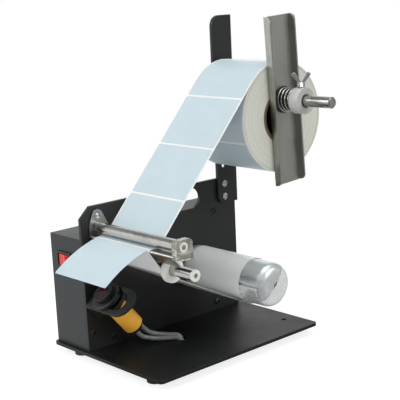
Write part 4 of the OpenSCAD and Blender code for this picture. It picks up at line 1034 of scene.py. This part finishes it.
def makeLead():
    tilt = math.radians(sensorSet["tilt"])
    out = sensorSet["bootLong"] + leadSet["seat"]
    sheets = []
    for off, route in leadRoutes.items():
        end = Vector(sensorSet["at"]) + Vector((0, off * math.sin(tilt) + out * math.cos(tilt),
                                                off * math.cos(tilt) - out * math.sin(tilt)))
        points = bendThrough([end] + [Vector(p) for p in route], leadSet["smooth"])
        sheets.append(sweep([place(*p) for p in points], leadSet["thick"] * mm / 2, leadSet["sides"],
                            leadSet["firstSide"]))
    newPiece("sensorLead", joinSheets(sheets), "leadSheath", "frame", "sensor_lead")


# which CAD nodes wear each finish, and a small round on their sharp edges, in mm

nodeFinishes = {
    "basePlateCoat": "base_plate", "housingCoat": "motor_housing",
    "sidePlateCoat": "side_plate upright_bar sensor_strap", "footRubber": "rubber_feet",
    "platedScrew": "foot_screws floor_nuts upright_screws tongue_screw shaft_washer motor_studs motor_nuts",
    "blackScrew": "floor_screws plate_screws strap_screws shaft_screw",
    "shaftSteel": "spool_shaft guide_shaft lower_shaft drum_shaft", "tubeSteel": "guide_tube lower_tube",
    "drumSteel": "takeup_drum", "clipSteel": "liner_clip", "channelSteel": "clamp_channel",
    "peelSteel": "peel_plate", "collarGrey": "roll_stop shaft_collar", "wingZinc": "wing_screw",
    "nylonWhite": "guide_bushes lower_bushes end_ring guide_ring", "clearBlock": "end_block",
    # the clamp washer is black nylon here; its black also paints the shade inside the spring's coils
    "blackNylon": "clamp_washer power_inlet switch_bezel sensor_head sensor_nuts sensor_boot",
    "bushBronze": "side_bush board_standoffs", "motorPaint": "motor_case", "castAlloy": "motor_gearbox",
    "boardGreen": "control_board", "coilTape": "transformer", "canSleeve": "capacitor", "plugWhite": "lead_plug",
    "rockerRed": "switch_rocker", "barrelOrange": "sensor_barrel", "lensDark": "sensor_lens",
    "coreBoard": "roll_core",
}
edgeRounds = {
    0.15: "peel_plate", 0.25: "clamp_channel end_ring takeup_drum liner_clip",
    0.3: "side_plate motor_housing upright_bar sensor_strap switch_bezel",
    0.35: "base_plate switch_rocker wing_screw", 0.4: "end_block guide_ring roll_stop",
    0.5: "shaft_collar sensor_nuts", 0.6: "rubber_feet",
}
roundSet = {"join": 0.002, "segments": 2, "from": math.radians(35)}


def dressNodes():
    for finish, names in nodeFinishes.items():
        for name in names.split():
            for slot in nodes[name].material_slots:
                slot.material = finishes[finish]
    for width, names in edgeRounds.items():
        for name in names.split():
            weld = nodes[name].modifiers.new("joinedCorners", "WELD")
            weld.merge_threshold = roundSet["join"] * mm
            edge = nodes[name].modifiers.new("roundedEdges", "BEVEL")
            edge.width, edge.segments, edge.limit_method = width * mm, roundSet["segments"], "ANGLE"
            edge.angle_limit = roundSet["from"]
            edge.use_clamp_overlap = True
            edge.harden_normals = False


makeSpring()
makeLead()
dressNodes()
print("details: spring, lead, %d dressed nodes" % sum(len(names.split()) for names in nodeFinishes.values()))
